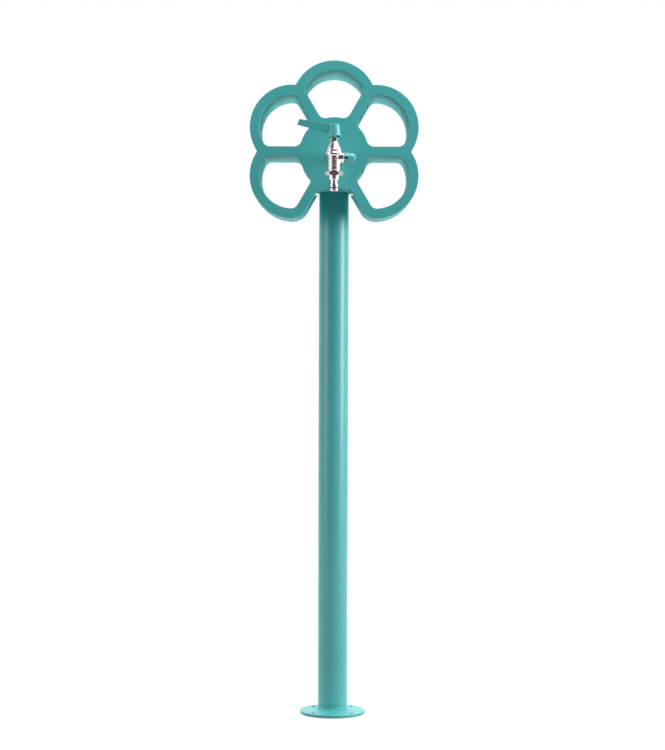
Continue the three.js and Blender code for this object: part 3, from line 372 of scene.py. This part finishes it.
def circle(radius, centre=(0, 0), steps=TURN_STEPS):
    """A round loop that grows with its inset where radius is negative, as a hole does."""
    middle = Vector(centre)
    return lambda inset: arc(middle, abs(radius - inset), 0, 360 - 360 / steps, steps - 1)


def on_line_at_radius(degrees, distance, centre, radius):
    """Where the line beside the direction `degrees` is `radius` from `centre`, on its far side."""
    along = polar(1, degrees)
    start = polar(distance, degrees - 90)
    offset = start - centre
    half = offset.dot(along)
    return start + along * (math.sqrt(half**2 - offset.length_squared + radius**2) - half)


def opening(inset):
    """A petal's opening about +X, grown by `inset` into the metal round it."""
    outer_r = PETAL_R - RIM + inset
    hub_r = HUB_R - inset
    fillet = OPENING_FILLET + inset
    petal = Vector((PETAL_PITCH, 0))
    side = PETAL_STEP / 2
    from_spoke = SPOKE / 2 - inset + fillet
    outer = on_line_at_radius(side, from_spoke, petal, outer_r - fillet)
    inner = on_line_at_radius(side, from_spoke, Vector((0, 0)), hub_r + fillet)
    outer_angle = angle_of(outer - petal)
    inner_angle = angle_of(inner)
    upper = [
        *arc(petal, outer_r, 0, outer_angle, ARC_STEPS // 2),
        *arc(outer, fillet, outer_angle, side + 90, CORNER_STEPS)[1:],
        *arc(inner, fillet, side + 90, 180 + inner_angle, CORNER_STEPS),
        *arc(Vector((0, 0)), hub_r, inner_angle, 0, CORNER_STEPS)[1:],
    ]
    return upper + [Vector((p.x, -p.y)) for p in reversed(upper[1:-1])]


def turned_opening(petal):
    turn = Matrix.Rotation(math.radians(petal), 2)
    return lambda inset: [turn @ p for p in opening(inset)]


def flower(inset):
    """The outside of the flower, drawn in by `inset`, from the floor's right end to its left."""
    radius = PETAL_R - inset
    fillet = OPENING_FILLET + RIM - inset
    edge = SPOKE_BESIDE_NOTCH
    half_apart = PETAL_PITCH * math.sin(math.radians(PETAL_STEP / 2))
    cusp_turn = math.degrees(math.acos(half_apart / radius))
    to_next = 90 + PETAL_STEP / 2
    first = polar(PETAL_PITCH, PETALS[0])
    corner = on_line_at_radius(edge, SPOKE / 2 - inset - fillet, first, radius - fillet)
    corner_angle = angle_of(corner - first)
    side = polar(SPOKE / 2 - inset, edge - 90)
    down = polar(1, edge)
    floor_end = side + down * ((inset - FLOOR_BELOW_CENTRE - side.y) / down.y)
    start = [floor_end, *arc(corner, fillet, edge - 90, corner_angle, CORNER_STEPS)]
    petals = []
    for i, petal in enumerate(PETALS):
        begin = corner_angle if i == 0 else petal - to_next + cusp_turn
        end = 180 - corner_angle if i == PETAL_COUNT - 1 else petal + to_next - cusp_turn
        petals += arc(polar(PETAL_PITCH, petal), radius, begin, end, ARC_STEPS)[1:]
    return start + petals + [Vector((-p.x, p.y)) for p in reversed(start)][1:]


def other_side(outline):
    """The other side of a strip that is bent along an outline."""
    return lambda inset: outline(STRIP_T - inset)


# ---- Kinds of solid ------------------------------------------------------------------------------
def slab(name, loops, low, high, edge_low, edge_high):
    """A plate drawn flat, from low to high, with its corners rounded. Each loop gives an outline
    for an inset into the metal; the first is the outside and the rest are holes."""
    quarter = [math.radians(90 * k / FILLET_STEPS) for k in range(FILLET_STEPS + 1)]
    bottom = [(edge_low * (1 - math.sin(a)), low + edge_low * (1 - math.cos(a))) for a in quarter]
    top = [(edge_high * (1 - math.sin(a)), high - edge_high * (1 - math.cos(a))) for a in quarter]
    levels = list(dict.fromkeys(bottom + top[::-1]))
    shape = bmesh.new()
    rims = []
    for loop in loops:
        rings = [[shape.verts.new((p.x, p.y, z)) for p in loop(inset)] for inset, z in levels]
        for lower, upper in zip(rings, rings[1:]):
            for i in range(len(lower)):
                shape.faces.new((lower[i - 1], lower[i], upper[i], upper[i - 1]))
        rims.append((rings[0], rings[-1]))
    for which in (0, 1):
        edges = [shape.edges.get((rim[which][i - 1], rim[which][i])) for rim in rims
                 for i in range(len(rim[which]))]
        bmesh.ops.triangle_fill(shape, edges=edges, use_beauty=True, use_dissolve=False)
    return piece_from(shape, name)


def turned(name, corners, segments=TURN_STEPS):
    """A piece turned about Z, from a closed profile of (radius, height, fillet) corners."""
    shape = bmesh.new()
    rings = []
    for point in rounded(corners):
        spots = 1 if abs(point.x) < TOUCH else segments
        rings.append([
            shape.verts.new((*polar(max(point.x, 0), 360 * i / segments), point.y))
            for i in range(spots)
        ])
    for lower, upper in zip(rings, rings[1:] + rings[:1]):
        for i in range(segments):
            ring = [lower[i - 1 if len(lower) > 1 else 0], lower[i if len(lower) > 1 else 0],
                    upper[i if len(upper) > 1 else 0], upper[i - 1 if len(upper) > 1 else 0]]
            corners_of_face = list(dict.fromkeys(ring))
            if len(corners_of_face) > 2:
                shape.faces.new(corners_of_face)
    return piece_from(shape, name)


def rod(radius, low, high, segments=TURN_STEPS):
    """A plain round tool for cutting."""
    return turned("tool", [(0, low, 0), (radius, low, 0), (radius, high, 0), (0, high, 0)], segments)


def stepped_bore(*steps):
    """A round tool for cutting that changes radius: (radius, from) steps, then its far end."""
    *parts, end = steps
    corners = [(0, parts[0][1], 0)]
    for i, (radius, start) in enumerate(parts):
        stop = parts[i + 1][1] if i + 1 < len(parts) else end
        corners += [(radius, start, 0), (radius, stop, 0)]
    return turned("tool", corners + [(0, end, 0)])


def outline_block(name, points, low, high):
    """A block drawn flat from an outline, with sharp edges."""
    return slab(name, [lambda inset: [Vector(p) for p in points]], low, high, 0, 0)


def hexagon(flats, low, high):
    corner_r = flats / 2 / math.cos(math.pi / 6)
    return outline_block("hexagon", arc(Vector((0, 0)), corner_r, 0, 300, 5), low, high)


def nut(name, flats, low, high, chamfer, *bores):
    """A hexagonal nut, its corners turned down at both ends, with its bores cut out."""
    flat_r = flats / 2
    slope = (flat_r / math.cos(math.pi / 6) - flat_r) / chamfer
    past = 1  # the cones run past both faces
    end_r = flat_r - slope * past
    middle_r = flat_r + slope * (high - low) / 2
    cones = [(0, low - past, 0), (end_r, low - past, 0), (middle_r, (low + high) / 2, 0),
             (end_r, high + past, 0), (0, high + past, 0)]
    turned_down = moved(turned("tool", cones), turn=OFF_SEAM)
    blank = merged(hexagon(flats, low, high), turned_down, "INTERSECT")
    blank.name = name
    return softened(cut(blank, *bores), width=0.25)


def ring_of_copies():
    """A node tree that repeats the piece it is given round Z, from First in steps of Step."""
    tree = bpy.data.node_groups.new("ring_of_copies", "GeometryNodeTree")
    inputs = {"Piece": "Geometry", "Count": "Int", "First": "Float", "Step": "Float", "Finish": "Material"}
    for name, kind in inputs.items():
        tree.interface.new_socket(name, in_out="INPUT", socket_type="NodeSocket" + kind)
    tree.interface.new_socket("Copies", in_out="OUTPUT", socket_type="NodeSocketGeometry")
    given = add(tree, "NodeGroupInput").outputs
    points = add(tree, "GeometryNodeMeshLine", {"Count": given["Count"], "Offset": (0, 0, 0)})
    index = add(tree, "GeometryNodeInputIndex").outputs["Index"]
    angle = add(tree, "ShaderNodeMath", {0: index, 1: given["Step"], 2: given["First"]},
                operation="MULTIPLY_ADD")
    spin = add(tree, "ShaderNodeCombineXYZ", {"Z": angle.outputs["Value"]})
    copies = add(tree, "GeometryNodeInstanceOnPoints", {
        "Points": points.outputs["Mesh"],
        "Instance": given["Piece"],
        "Rotation": spin.outputs["Vector"],
    })
    real = add(tree, "GeometryNodeRealizeInstances", {"Geometry": copies.outputs["Instances"]})
    coated = add(tree, "GeometryNodeSetMaterial",
                 {"Geometry": real.outputs["Geometry"], "Material": given["Finish"]})
    add(tree, "NodeGroupOutput", {"Copies": coated.outputs["Geometry"]})
    return tree


RING = ring_of_copies()


def repeated(piece, count, first, step, slot):
    """The piece, repeated round Z by geometry nodes and made a plain mesh; angles in degrees."""
    modifier = piece.modifiers.new("ring", "NODES")
    modifier.node_group = RING
    values = {"Count": count, "First": math.radians(first), "Step": math.radians(step),
              "Finish": FINISHES[slot]}
    for item in RING.interface.items_tree:
        if item.name in values:
            modifier[item.identifier] = values[item.name]
    return settled(piece)


def moulded(piece, grain, passes):
    """Runs the piece's corners and joins together, as casting does: small even cells, smoothed."""
    cells = piece.modifiers.new("cells", "REMESH")
    cells.mode = "VOXEL"
    cells.voxel_size = grain
    smooth = piece.modifiers.new("smooth", "SMOOTH")
    smooth.factor = 0.5
    smooth.iterations = passes
    return settled(piece)


# ---- Foot and post -------------------------------------------------------------------------------
def foot():
    hole_r = ANCHOR_HOLE_R
    disc = turned("foot_plate", [
        (0, 0, 0), (FOOT_R, 0, 0.5), (FOOT_R, FOOT_T, 1.0), (0, FOOT_T, 0),
    ], 160)
    anchor_holes = moved(turned("tool", [
        (0, -1, 0), (hole_r + 1.4, -1, 0), (hole_r + 0.4, 0, 0), (hole_r, 0.4, 0),
        (hole_r, FOOT_T - 0.4, 0), (hole_r + 0.4, FOOT_T, 0), (hole_r + 1.4, FOOT_T + 1, 0),
        (0, FOOT_T + 1, 0),
    ], 40), ANCHOR_HOLE_AT * math.sqrt(2))
    repeated(anchor_holes, ANCHOR_HOLES, 45, 360 / ANCHOR_HOLES, "teal_coat")
    coupling_r = size("inlet_coupling", X) / 2
    inlet_hole = moved(rod(coupling_r + THROUGH_GAP, -1, FOOT_T + 1), 0, POST_Y / MM)
    cut(disc, anchor_holes, inlet_hole)
    shown(disc, (0, 0, 0), "base_plate")


def post():
    sunk = 0.3  # into the foot, under the weld
    low = place_of("post_tube", Z, 0) / MM - sunk
    high = place_of("post_tube", Z, 1) / MM
    bore = POST_R - POST_WALL
    tube = turned("post", [
        (bore, low, 0), (POST_R + POST_WELD, low, 0.15), (POST_R, low + POST_WELD, 1.2),
        (POST_R, high, 0.4), (bore, high, 0.4),
    ], 128)
    shown(tube, (0, POST_Y, 0), "post_tube")


# ---- Head ----------------------------------------------------------------------------------------
def head():
    openings = [turned_opening(petal) for petal in PETALS]
    depth = (BACK_Y - FRONT_Y) / MM
    tail_hole = circle(-TAIL_HOLE_R, (0, (TAP.z - HEAD.z) / MM))
    front = slab("head_front", [flower, *openings, tail_hole], -PLATE_T, 0, JOINT_EDGE, OUTER_EDGE)
    shown(front, HEAD, "head_front_plate", turn=STAND_UP)

    screw_step = 360 / COVER_SCREWS
    screw_at = [polar(COVER_SCREW_AT, 45 + screw_step * i) for i in range(COVER_SCREWS)]
    screw_holes = [circle(-COVER_SCREW_HOLE_R, at, 24) for at in screw_at]
    back_loops = [flower, *openings, circle(-SERVICE_R), *screw_holes]
    back = slab("head_back", back_loops, -depth, PLATE_T - depth, OUTER_EDGE, JOINT_EDGE)
    shown(back, HEAD, "head_back_plate", turn=STAND_UP)

    between_plates = (PLATE_T - depth, -PLATE_T, JOINT_EDGE, JOINT_EDGE)
    band = slab("head_band", [flower, other_side(flower)], *between_plates)
    post_hole = moved(rod(POST_R + THROUGH_GAP, -5, 5), 0, -FLOOR_BELOW_CENTRE,
                      -(POST_Y - FRONT_Y) / MM, ALONG_Y)
    shown(cut(band, post_hole), HEAD, "head_outer_band", turn=STAND_UP)

    linings = slab("petal_linings", [other_side(opening), opening], *between_plates)
    repeated(linings, PETAL_COUNT, PETALS[0], PETAL_STEP, "teal_coat")
    names = [f"petal_lining_{i + 1}" for i in range(PETAL_COUNT)]
    shown(linings, HEAD, *names, turn=STAND_UP)

    cover_face = (place_of("rear_cover", Y, 1) - FRONT_Y) / MM
    cover_low = -cover_face
    cover_loops = [circle(COVER_R), *screw_holes]
    cover = slab("service_cover", cover_loops, cover_low, cover_low + size("rear_cover", Y), 0.5, 0.2)
    shown(cover, HEAD, "rear_cover", turn=STAND_UP)

    screws = turned("cover_screws", [
        (0, -7, 0), (1.9, -7, 0.4), (1.9, 0.3, 0), (3.8, 0.3, 0.2), (3.8, 1.2, 0.4), (2.6, 2.5, 0.6),
        (0, 2.5, 0),
    ], 40)
    cut(screws, hexagon(2.5, 1.2, 3))
    moved(screws, COVER_SCREW_AT, 0, cover_face)
    repeated(screws, COVER_SCREWS, 45, screw_step, "stainless")
    names = [f"rear_cover_screw_{i + 1}" for i in range(COVER_SCREWS)]
    shown(screws, HEAD, *names, turn=ALONG_Y)


# ---- Tap -----------------------------------------------------------------------------------------
def groove(radius, z, width, depth):
    """Four corners of a ring-shaped groove with sloping sides, from its lower side up."""
    half = width / 2
    return [(radius, z - half - 0.4, 0.2), (radius - depth, z - half + 0.2, 0.15),
            (radius - depth, z + half - 0.2, 0.15), (radius, z + half + 0.4, 0.2)]


def tap_body():
    grooves = [corner for z in (-15.2, -10.2, -5.4) for corner in groove(BARREL_R, z, 1, 0.7)]
    barrel = turned("tap_body_smooth", [
        (0, -27.8, 0), (10, -27.8, 0.5), (10, -22.5, 0.2), (BARREL_R, -22.5, 0.4), *grooves,
        (BARREL_R, 0.5, 0.5), (15.3, 1.7, 0.4), (15.3, 5, 0.4), (14, 6.6, 0.3), (14, 9, 0.4), (0, 9, 0),
    ], TAP_STEPS)
    inlet_boss = turned("inlet_boss", [(0, 0, 0), (8.9, 0, 0), (8.9, 18, 0.7), (0, 18, 0)])
    side_boss = turned("side_boss", [(0, 0, 0), (9.2, 0, 0), (9.2, 15.7, 0.5), (0, 15.7, 0)])
    joined(barrel, moved(inlet_boss, turn=ALONG_Y), moved(side_boss, 0, 0, SIDE_AXIS_Z, ALONG_X))
    ball_chamber = rod(7.9, -9.5, 10)
    waterway = rod(WATERWAY_R, -29, 0)
    tail_bore = moved(rod(7, 0, 19), turn=ALONG_Y)
    plug_bore = moved(stepped_bore((5.3, 1), (7.2, 12.8), 17), 0, 0, SIDE_AXIS_Z, ALONG_X @ OFF_SEAM)
    cut(barrel, ball_chamber, waterway, tail_bore, plug_bore)
    shown(barrel, TAP, "tap_body", sharp=32)


def bonnet():
    spindle_hole_r = 3.8
    cone = turned("bonnet", [
        (spindle_hole_r, CONE_FOOT_Z, 0), (13.6, CONE_FOOT_Z, 0.3), (13.6, 10.5, 0.3), (13.1, 11.3, 0.15),
        (12.2, 11.4, 0.1), (12.2, 12.1, 0.1), (12.7, 12.2, 0.15), (7.3, 22.3, 1.2), (6.7, 23.5, 0.3),
        (6.1, 23.5, 0.1), (6.1, 19.2, 0), (spindle_hole_r, 19.2, 0),
    ], TAP_STEPS)
    shown(cone, TAP, "tap_bonnet")
    spindle_bore = moved(rod(spindle_hole_r, 23, 33), turn=OFF_SEAM)
    gland = nut("gland_nut_smooth", GLAND_FLATS, 23.8, 32.1, 0.7, spindle_bore)
    shown(gland, TAP, "gland_nut")


def outlet():
    union_bore = moved(stepped_bore((9.2, -33), (10.3, -30.7), -20), turn=OFF_SEAM)
    shown(nut("union_nut", UNION_FLATS, -31.7, -24.6, 1.3, union_bore), TAP, "outlet_nut")
    shown(turned("hose_nipple_smooth", [
        (4.2, -56.4, 0.3), (6.5, -56.4, 0.3), (NIPPLE_R, -55.6, 0.3), (NIPPLE_R, -52.6, 0.15),
        (5.7, -52.6, 0.1), (5.7, -50.2, 0.1), (NIPPLE_R, -50.2, 0.15), (NIPPLE_R, -45.1, 0.5),
        (6.1, -44.3, 0.5), (6.1, -39.4, 0.8), (8.9, -37, 0.6), (8.9, -30.4, 0), (9.9, -30.4, 0),
        (9.9, -29.4, 0), (4.2, -29.4, 0),
    ], TAP_STEPS), TAP, "hose_nipple")
    ring_section = arc(Vector((6.75, -51.4)), 0.85, 0, 337.5, 15)
    shown(turned("nipple_o_ring", [(p.x, p.y, 0) for p in ring_section]), TAP, "nipple_seal")


def inlet():
    tail = turned("inlet_tail_smooth", [
        (WATERWAY_R, 9, 0), (6.7, 9, 0), (6.7, 18.3, 0), (TAIL_R, 18.3, 0.3), (TAIL_R, 65, 0.2),
        (11, 65, 0.4), (11, 68.2, 0.3), (TAIL_R, 68.2, 0), (TAIL_R, 179.7, 0.3), (WATERWAY_R, 179.7, 0),
    ])
    shown(tail, TAP, "inlet_tail", turn=ALONG_Y)
    washer = turned("tail_washer", [
        (8.3, 68.5, 0.2), (11, 68.5, 0.3), (11, 69.7, 0.3), (8.3, 69.7, 0.2),
    ])
    shown(washer, TAP, "tail_seal", turn=ALONG_Y)


# ---- Lever and side handle -----------------------------------------------------------------------
def lever():
    hub = turned("lever", [
        (0, 30.3, 0), (11.5, 30.3, 0.6), (8.5, 50.5, 0.5), (7.7, LEVER_TOP_Z, 0.4), (0, LEVER_TOP_Z, 0),
    ])
    side_view = [(0, LEVER_TOP_Z), (-8.5, LEVER_TOP_Z), (-56, 59.7), (-60, 50.8), (-8.5, 37.3), (0, 37.3)]
    blade = moved(outline_block("blade", side_view, -12, 12), turn=STAND_UP)
    plan = [(0, -6), (0, 6), *arc(Vector((-55.5, 0)), 4.5, 90, 270, 16)]
    merged(blade, outline_block("blade_plan", plan, 30, 70), "INTERSECT")
    joined(hub, blade)
    stop_window = outline_block("stop_window", [(0, -3.5), (14, -3.5), (14, 3.5), (0, 3.5)], 27.7, 32.9)
    moved(stop_window, turn=Matrix.Rotation(math.radians(-50), 4, "Z"))
    gland_recess = rod(9.5, 29, 35.8)
    cut(hub, gland_recess, stop_window)
    moulded(hub, grain=0.32, passes=4)
    cut(hub, moved(stepped_bore((3.8, 34), (1.8, 45.8), (4, 48.1), 60), turn=OFF_SEAM))
    shown(hub, TAP, "lever_handle", sharp=60)


def pan_screw(name, head_r, head_h, shank_r, length, key):
    """A screw with its head's underside at 0, pointing down, with a hexagonal key hole."""
    screw = turned(name, [
        (0, -length, 0), (shank_r, -length, 0.2), (shank_r, 0, 0), (head_r, 0, 0.2),
        (head_r, head_h * 0.55, 0.4), (head_r * 0.7, head_h, 0.5), (0, head_h, 0),
    ], 48)
    return cut(screw, hexagon(key, head_h * 0.4, head_h + 1))


def side_handle():
    hub = turned("side_lever", [
        (0, 16, 0), (9.3, 16, 0.5), (8.2, 27.6, 2), (7, 33.1, 0.6), (5.4, 34.7, 0.4), (0, 34.7, 0),
    ])
    moved(hub, turn=ALONG_X)
    wing = [(4.5, 0), *arc(Vector((0, 19.5)), 4.5, 0, 180, 16), (-4.5, 0)]
    joined(hub, moved(outline_block("side_wing", wing, 25.1, 33.1), turn=ALONG_X))
    window = outline_block("side_window", [(15, -10.3), (22, -10.3), (22, 0), (15, 0)], -1.6, 1.6)
    gland_recess = moved(rod(7.3, 10, 23), turn=ALONG_X)
    cut(hub, gland_recess, window)
    moulded(hub, grain=0.28, passes=3)
    cut(hub, moved(stepped_bore((2.8, 20), (1.4, 30.4), (3.3, 32.2), 36), turn=ALONG_X @ OFF_SEAM))
    shown(hub, SIDE, "side_handle", sharp=60)


def screws():
    main_screw = moved(pan_screw("lever_screw", 3.7, 2.6, 1.5, 12, 2.5), 0, 0, 48.4)
    shown(main_screw, TAP, "handle_screw")
    side_screw = moved(pan_screw("side_lever_screw", 3, 1.9, 1.1, 9, 2), 0, 0, 32.5)
    shown(side_screw, SIDE, "side_handle_screw", turn=ALONG_X)
    from_floor = 8.8  # along the notch's slanted side
    behind_front = 14
    side_low = SPOKE / 2 * math.sin(math.radians(NOTCH_HALF))
    along = (FLOOR_BELOW_CENTRE - side_low) / math.cos(math.radians(NOTCH_HALF)) + from_floor
    for name, side in (("right", 1), ("left", -1)):
        at = polar(along, SPOKE_BESIDE_NOTCH) + polar(SPOKE / 2, SPOKE_BESIDE_NOTCH - 90)
        out = polar(1, SPOKE_BESIDE_NOTCH - 90)
        origin = HEAD + Vector((side * at.x, behind_front, at.y)) * MM
        outward = Vector((side * out.x, 0, out.y))
        turn = Vector((0, 0, 1)).rotation_difference(outward).to_matrix().to_4x4()
        screw = pan_screw(f"notch_bolt_{name}", 3.5, 3.4, 2, 7.6, 2.5)
        shown(screw, origin, f"notch_screw_{name}", turn=turn)


foot()
post()
head()
tap_body()
bonnet()
outlet()
inlet()
lever()
side_handle()
screws()

# ---- Floor, light and camera -------------------------------------------------------------------
WHITE = (1, 1, 1, 1)
FLOOR_WIDTH = 5
FLOOR_Z = -0.0005  # just below the foot, so that the two never share a plane
bpy.ops.mesh.primitive_plane_add(size=FLOOR_WIDTH, location=(0, 0, FLOOR_Z))
floor = bpy.context.object
floor.name = "studio_floor"
paper = bpy.data.materials.new("white_background_paper")
paper.use_nodes = True
tree = paper.node_tree
tree.nodes.clear()
rays = add(tree, "ShaderNodeLightPath").outputs
lit_rays = {0: rays["Is Camera Ray"], 1: rays["Is Glossy Ray"]}
seen = add(tree, "ShaderNodeMath", lit_rays, operation="MAXIMUM").outputs["Value"]
glow = add(tree, "ShaderNodeMath", {0: seen, 1: 0.9}, operation="MULTIPLY").outputs["Value"]
paper_surface = add(tree, "ShaderNodeBsdfPrincipled", {
    "Base Color": colour("#707070"),
    "Roughness": 0.9,
    "Specular IOR Level": 0,
    "Emission Color": WHITE,
    "Emission Strength": glow,
})
add(tree, "ShaderNodeOutputMaterial", {"Surface": paper_surface.outputs["BSDF"]})
floor.data.materials.append(paper)

# A dark room in front, pale walls at both sides, and a bright backdrop that starts above the floor.
world = bpy.data.worlds.new("white_studio")
bpy.context.scene.world = world
world.use_nodes = True
sky = world.node_tree
sky.nodes.clear()
direction = add(sky, "ShaderNodeTexCoord").outputs["Generated"]
across, depth, height = add(sky, "ShaderNodeSeparateXYZ", {"Vector": direction}).outputs
to_a_side = add(sky, "ShaderNodeMath", {0: across}, operation="ABSOLUTE").outputs["Value"]
RAMP = ("Value", "From Min", "From Max", "To Min", "To Max")
side_walls, off_the_floor, back_wall, above_the_floor = [
    add(sky, "ShaderNodeMapRange", dict(zip(RAMP, ramp)), interpolation_type="SMOOTHSTEP").outputs["Result"]
    for ramp in (
        (to_a_side, 0.3, 0.8, 0.1, 0.72),
        (height, -0.35, 0.1, 0.3, 1.0),
        (depth, -0.1, 0.7, 0.0, 1.3),
        (height, 0.03, 0.3, 0.0, 1.0),
    )
]
sides = add(sky, "ShaderNodeMath", {0: side_walls, 1: off_the_floor}, operation="MULTIPLY")
behind = add(sky, "ShaderNodeMath", {0: back_wall, 1: above_the_floor}, operation="MULTIPLY")
walls = add(sky, "ShaderNodeMath", {0: sides.outputs["Value"], 1: behind.outputs["Value"]}, operation="ADD")
room = add(sky, "ShaderNodeBackground", {"Color": WHITE, "Strength": walls.outputs["Value"]})
backdrop = add(sky, "ShaderNodeBackground", {"Color": WHITE})
to_camera = add(sky, "ShaderNodeLightPath").outputs["Is Camera Ray"]
shaders = {0: to_camera, 1: room.outputs["Background"], 2: backdrop.outputs["Background"]}
both = add(sky, "ShaderNodeMixShader", shaders)
add(sky, "ShaderNodeOutputWorld", {"Surface": both.outputs["Shader"]})


def softbox(name, place, target, width, height, power, gloss=True):
    """A soft rectangular lamp at a place, aimed at a target; metres and watts."""
    light = bpy.data.lights.new(name, "AREA")
    light.shape = "RECTANGLE"
    light.size = width
    light.size_y = height
    light.energy = power
    lamp = bpy.data.objects.new(name, light)
    lamp.location = place
    aim = Vector(target) - Vector(place)
    lamp.rotation_euler = aim.to_track_quat("-Z", "Y").to_euler()
    lamp.visible_camera = False
    lamp.visible_glossy = gloss
    bpy.context.collection.objects.link(lamp)


softbox("key_softbox", (1.7, -0.5, 1.05), (0, 0, 0.85), 0.75, 1.4, 25)
softbox("fill_softbox", (-1.7, -0.9, 0.95), (0, 0, 0.85), 0.45, 1.4, 6)
softbox("top_softbox", (0.3, -0.4, 2.1), (0, 0, 0.9), 1.0, 0.8, 12)
softbox("rear_fill", (0, 1.3, 0.45), (0, 0, 0.95), 2.6, 0.8, 60, gloss=False)

EYE_HEIGHT = 0.675
EYE_DISTANCE = 3.608
FOCAL_LENGTH = 102.24
SHIFT = (-0.00152, -0.0813)
TILT = 0.186  # degrees that the camera leans to one side
lens = bpy.data.cameras.new("camera")
lens.lens = FOCAL_LENGTH
lens.shift_x, lens.shift_y = SHIFT
camera = bpy.data.objects.new("camera", lens)
camera.location = (0, -EYE_DISTANCE, EYE_HEIGHT)
camera.rotation_euler = (math.pi / 2, -math.radians(TILT), 0)
bpy.context.collection.objects.link(camera)
bpy.context.scene.camera = camera
bpy.context.scene.view_settings.view_transform = "Standard"
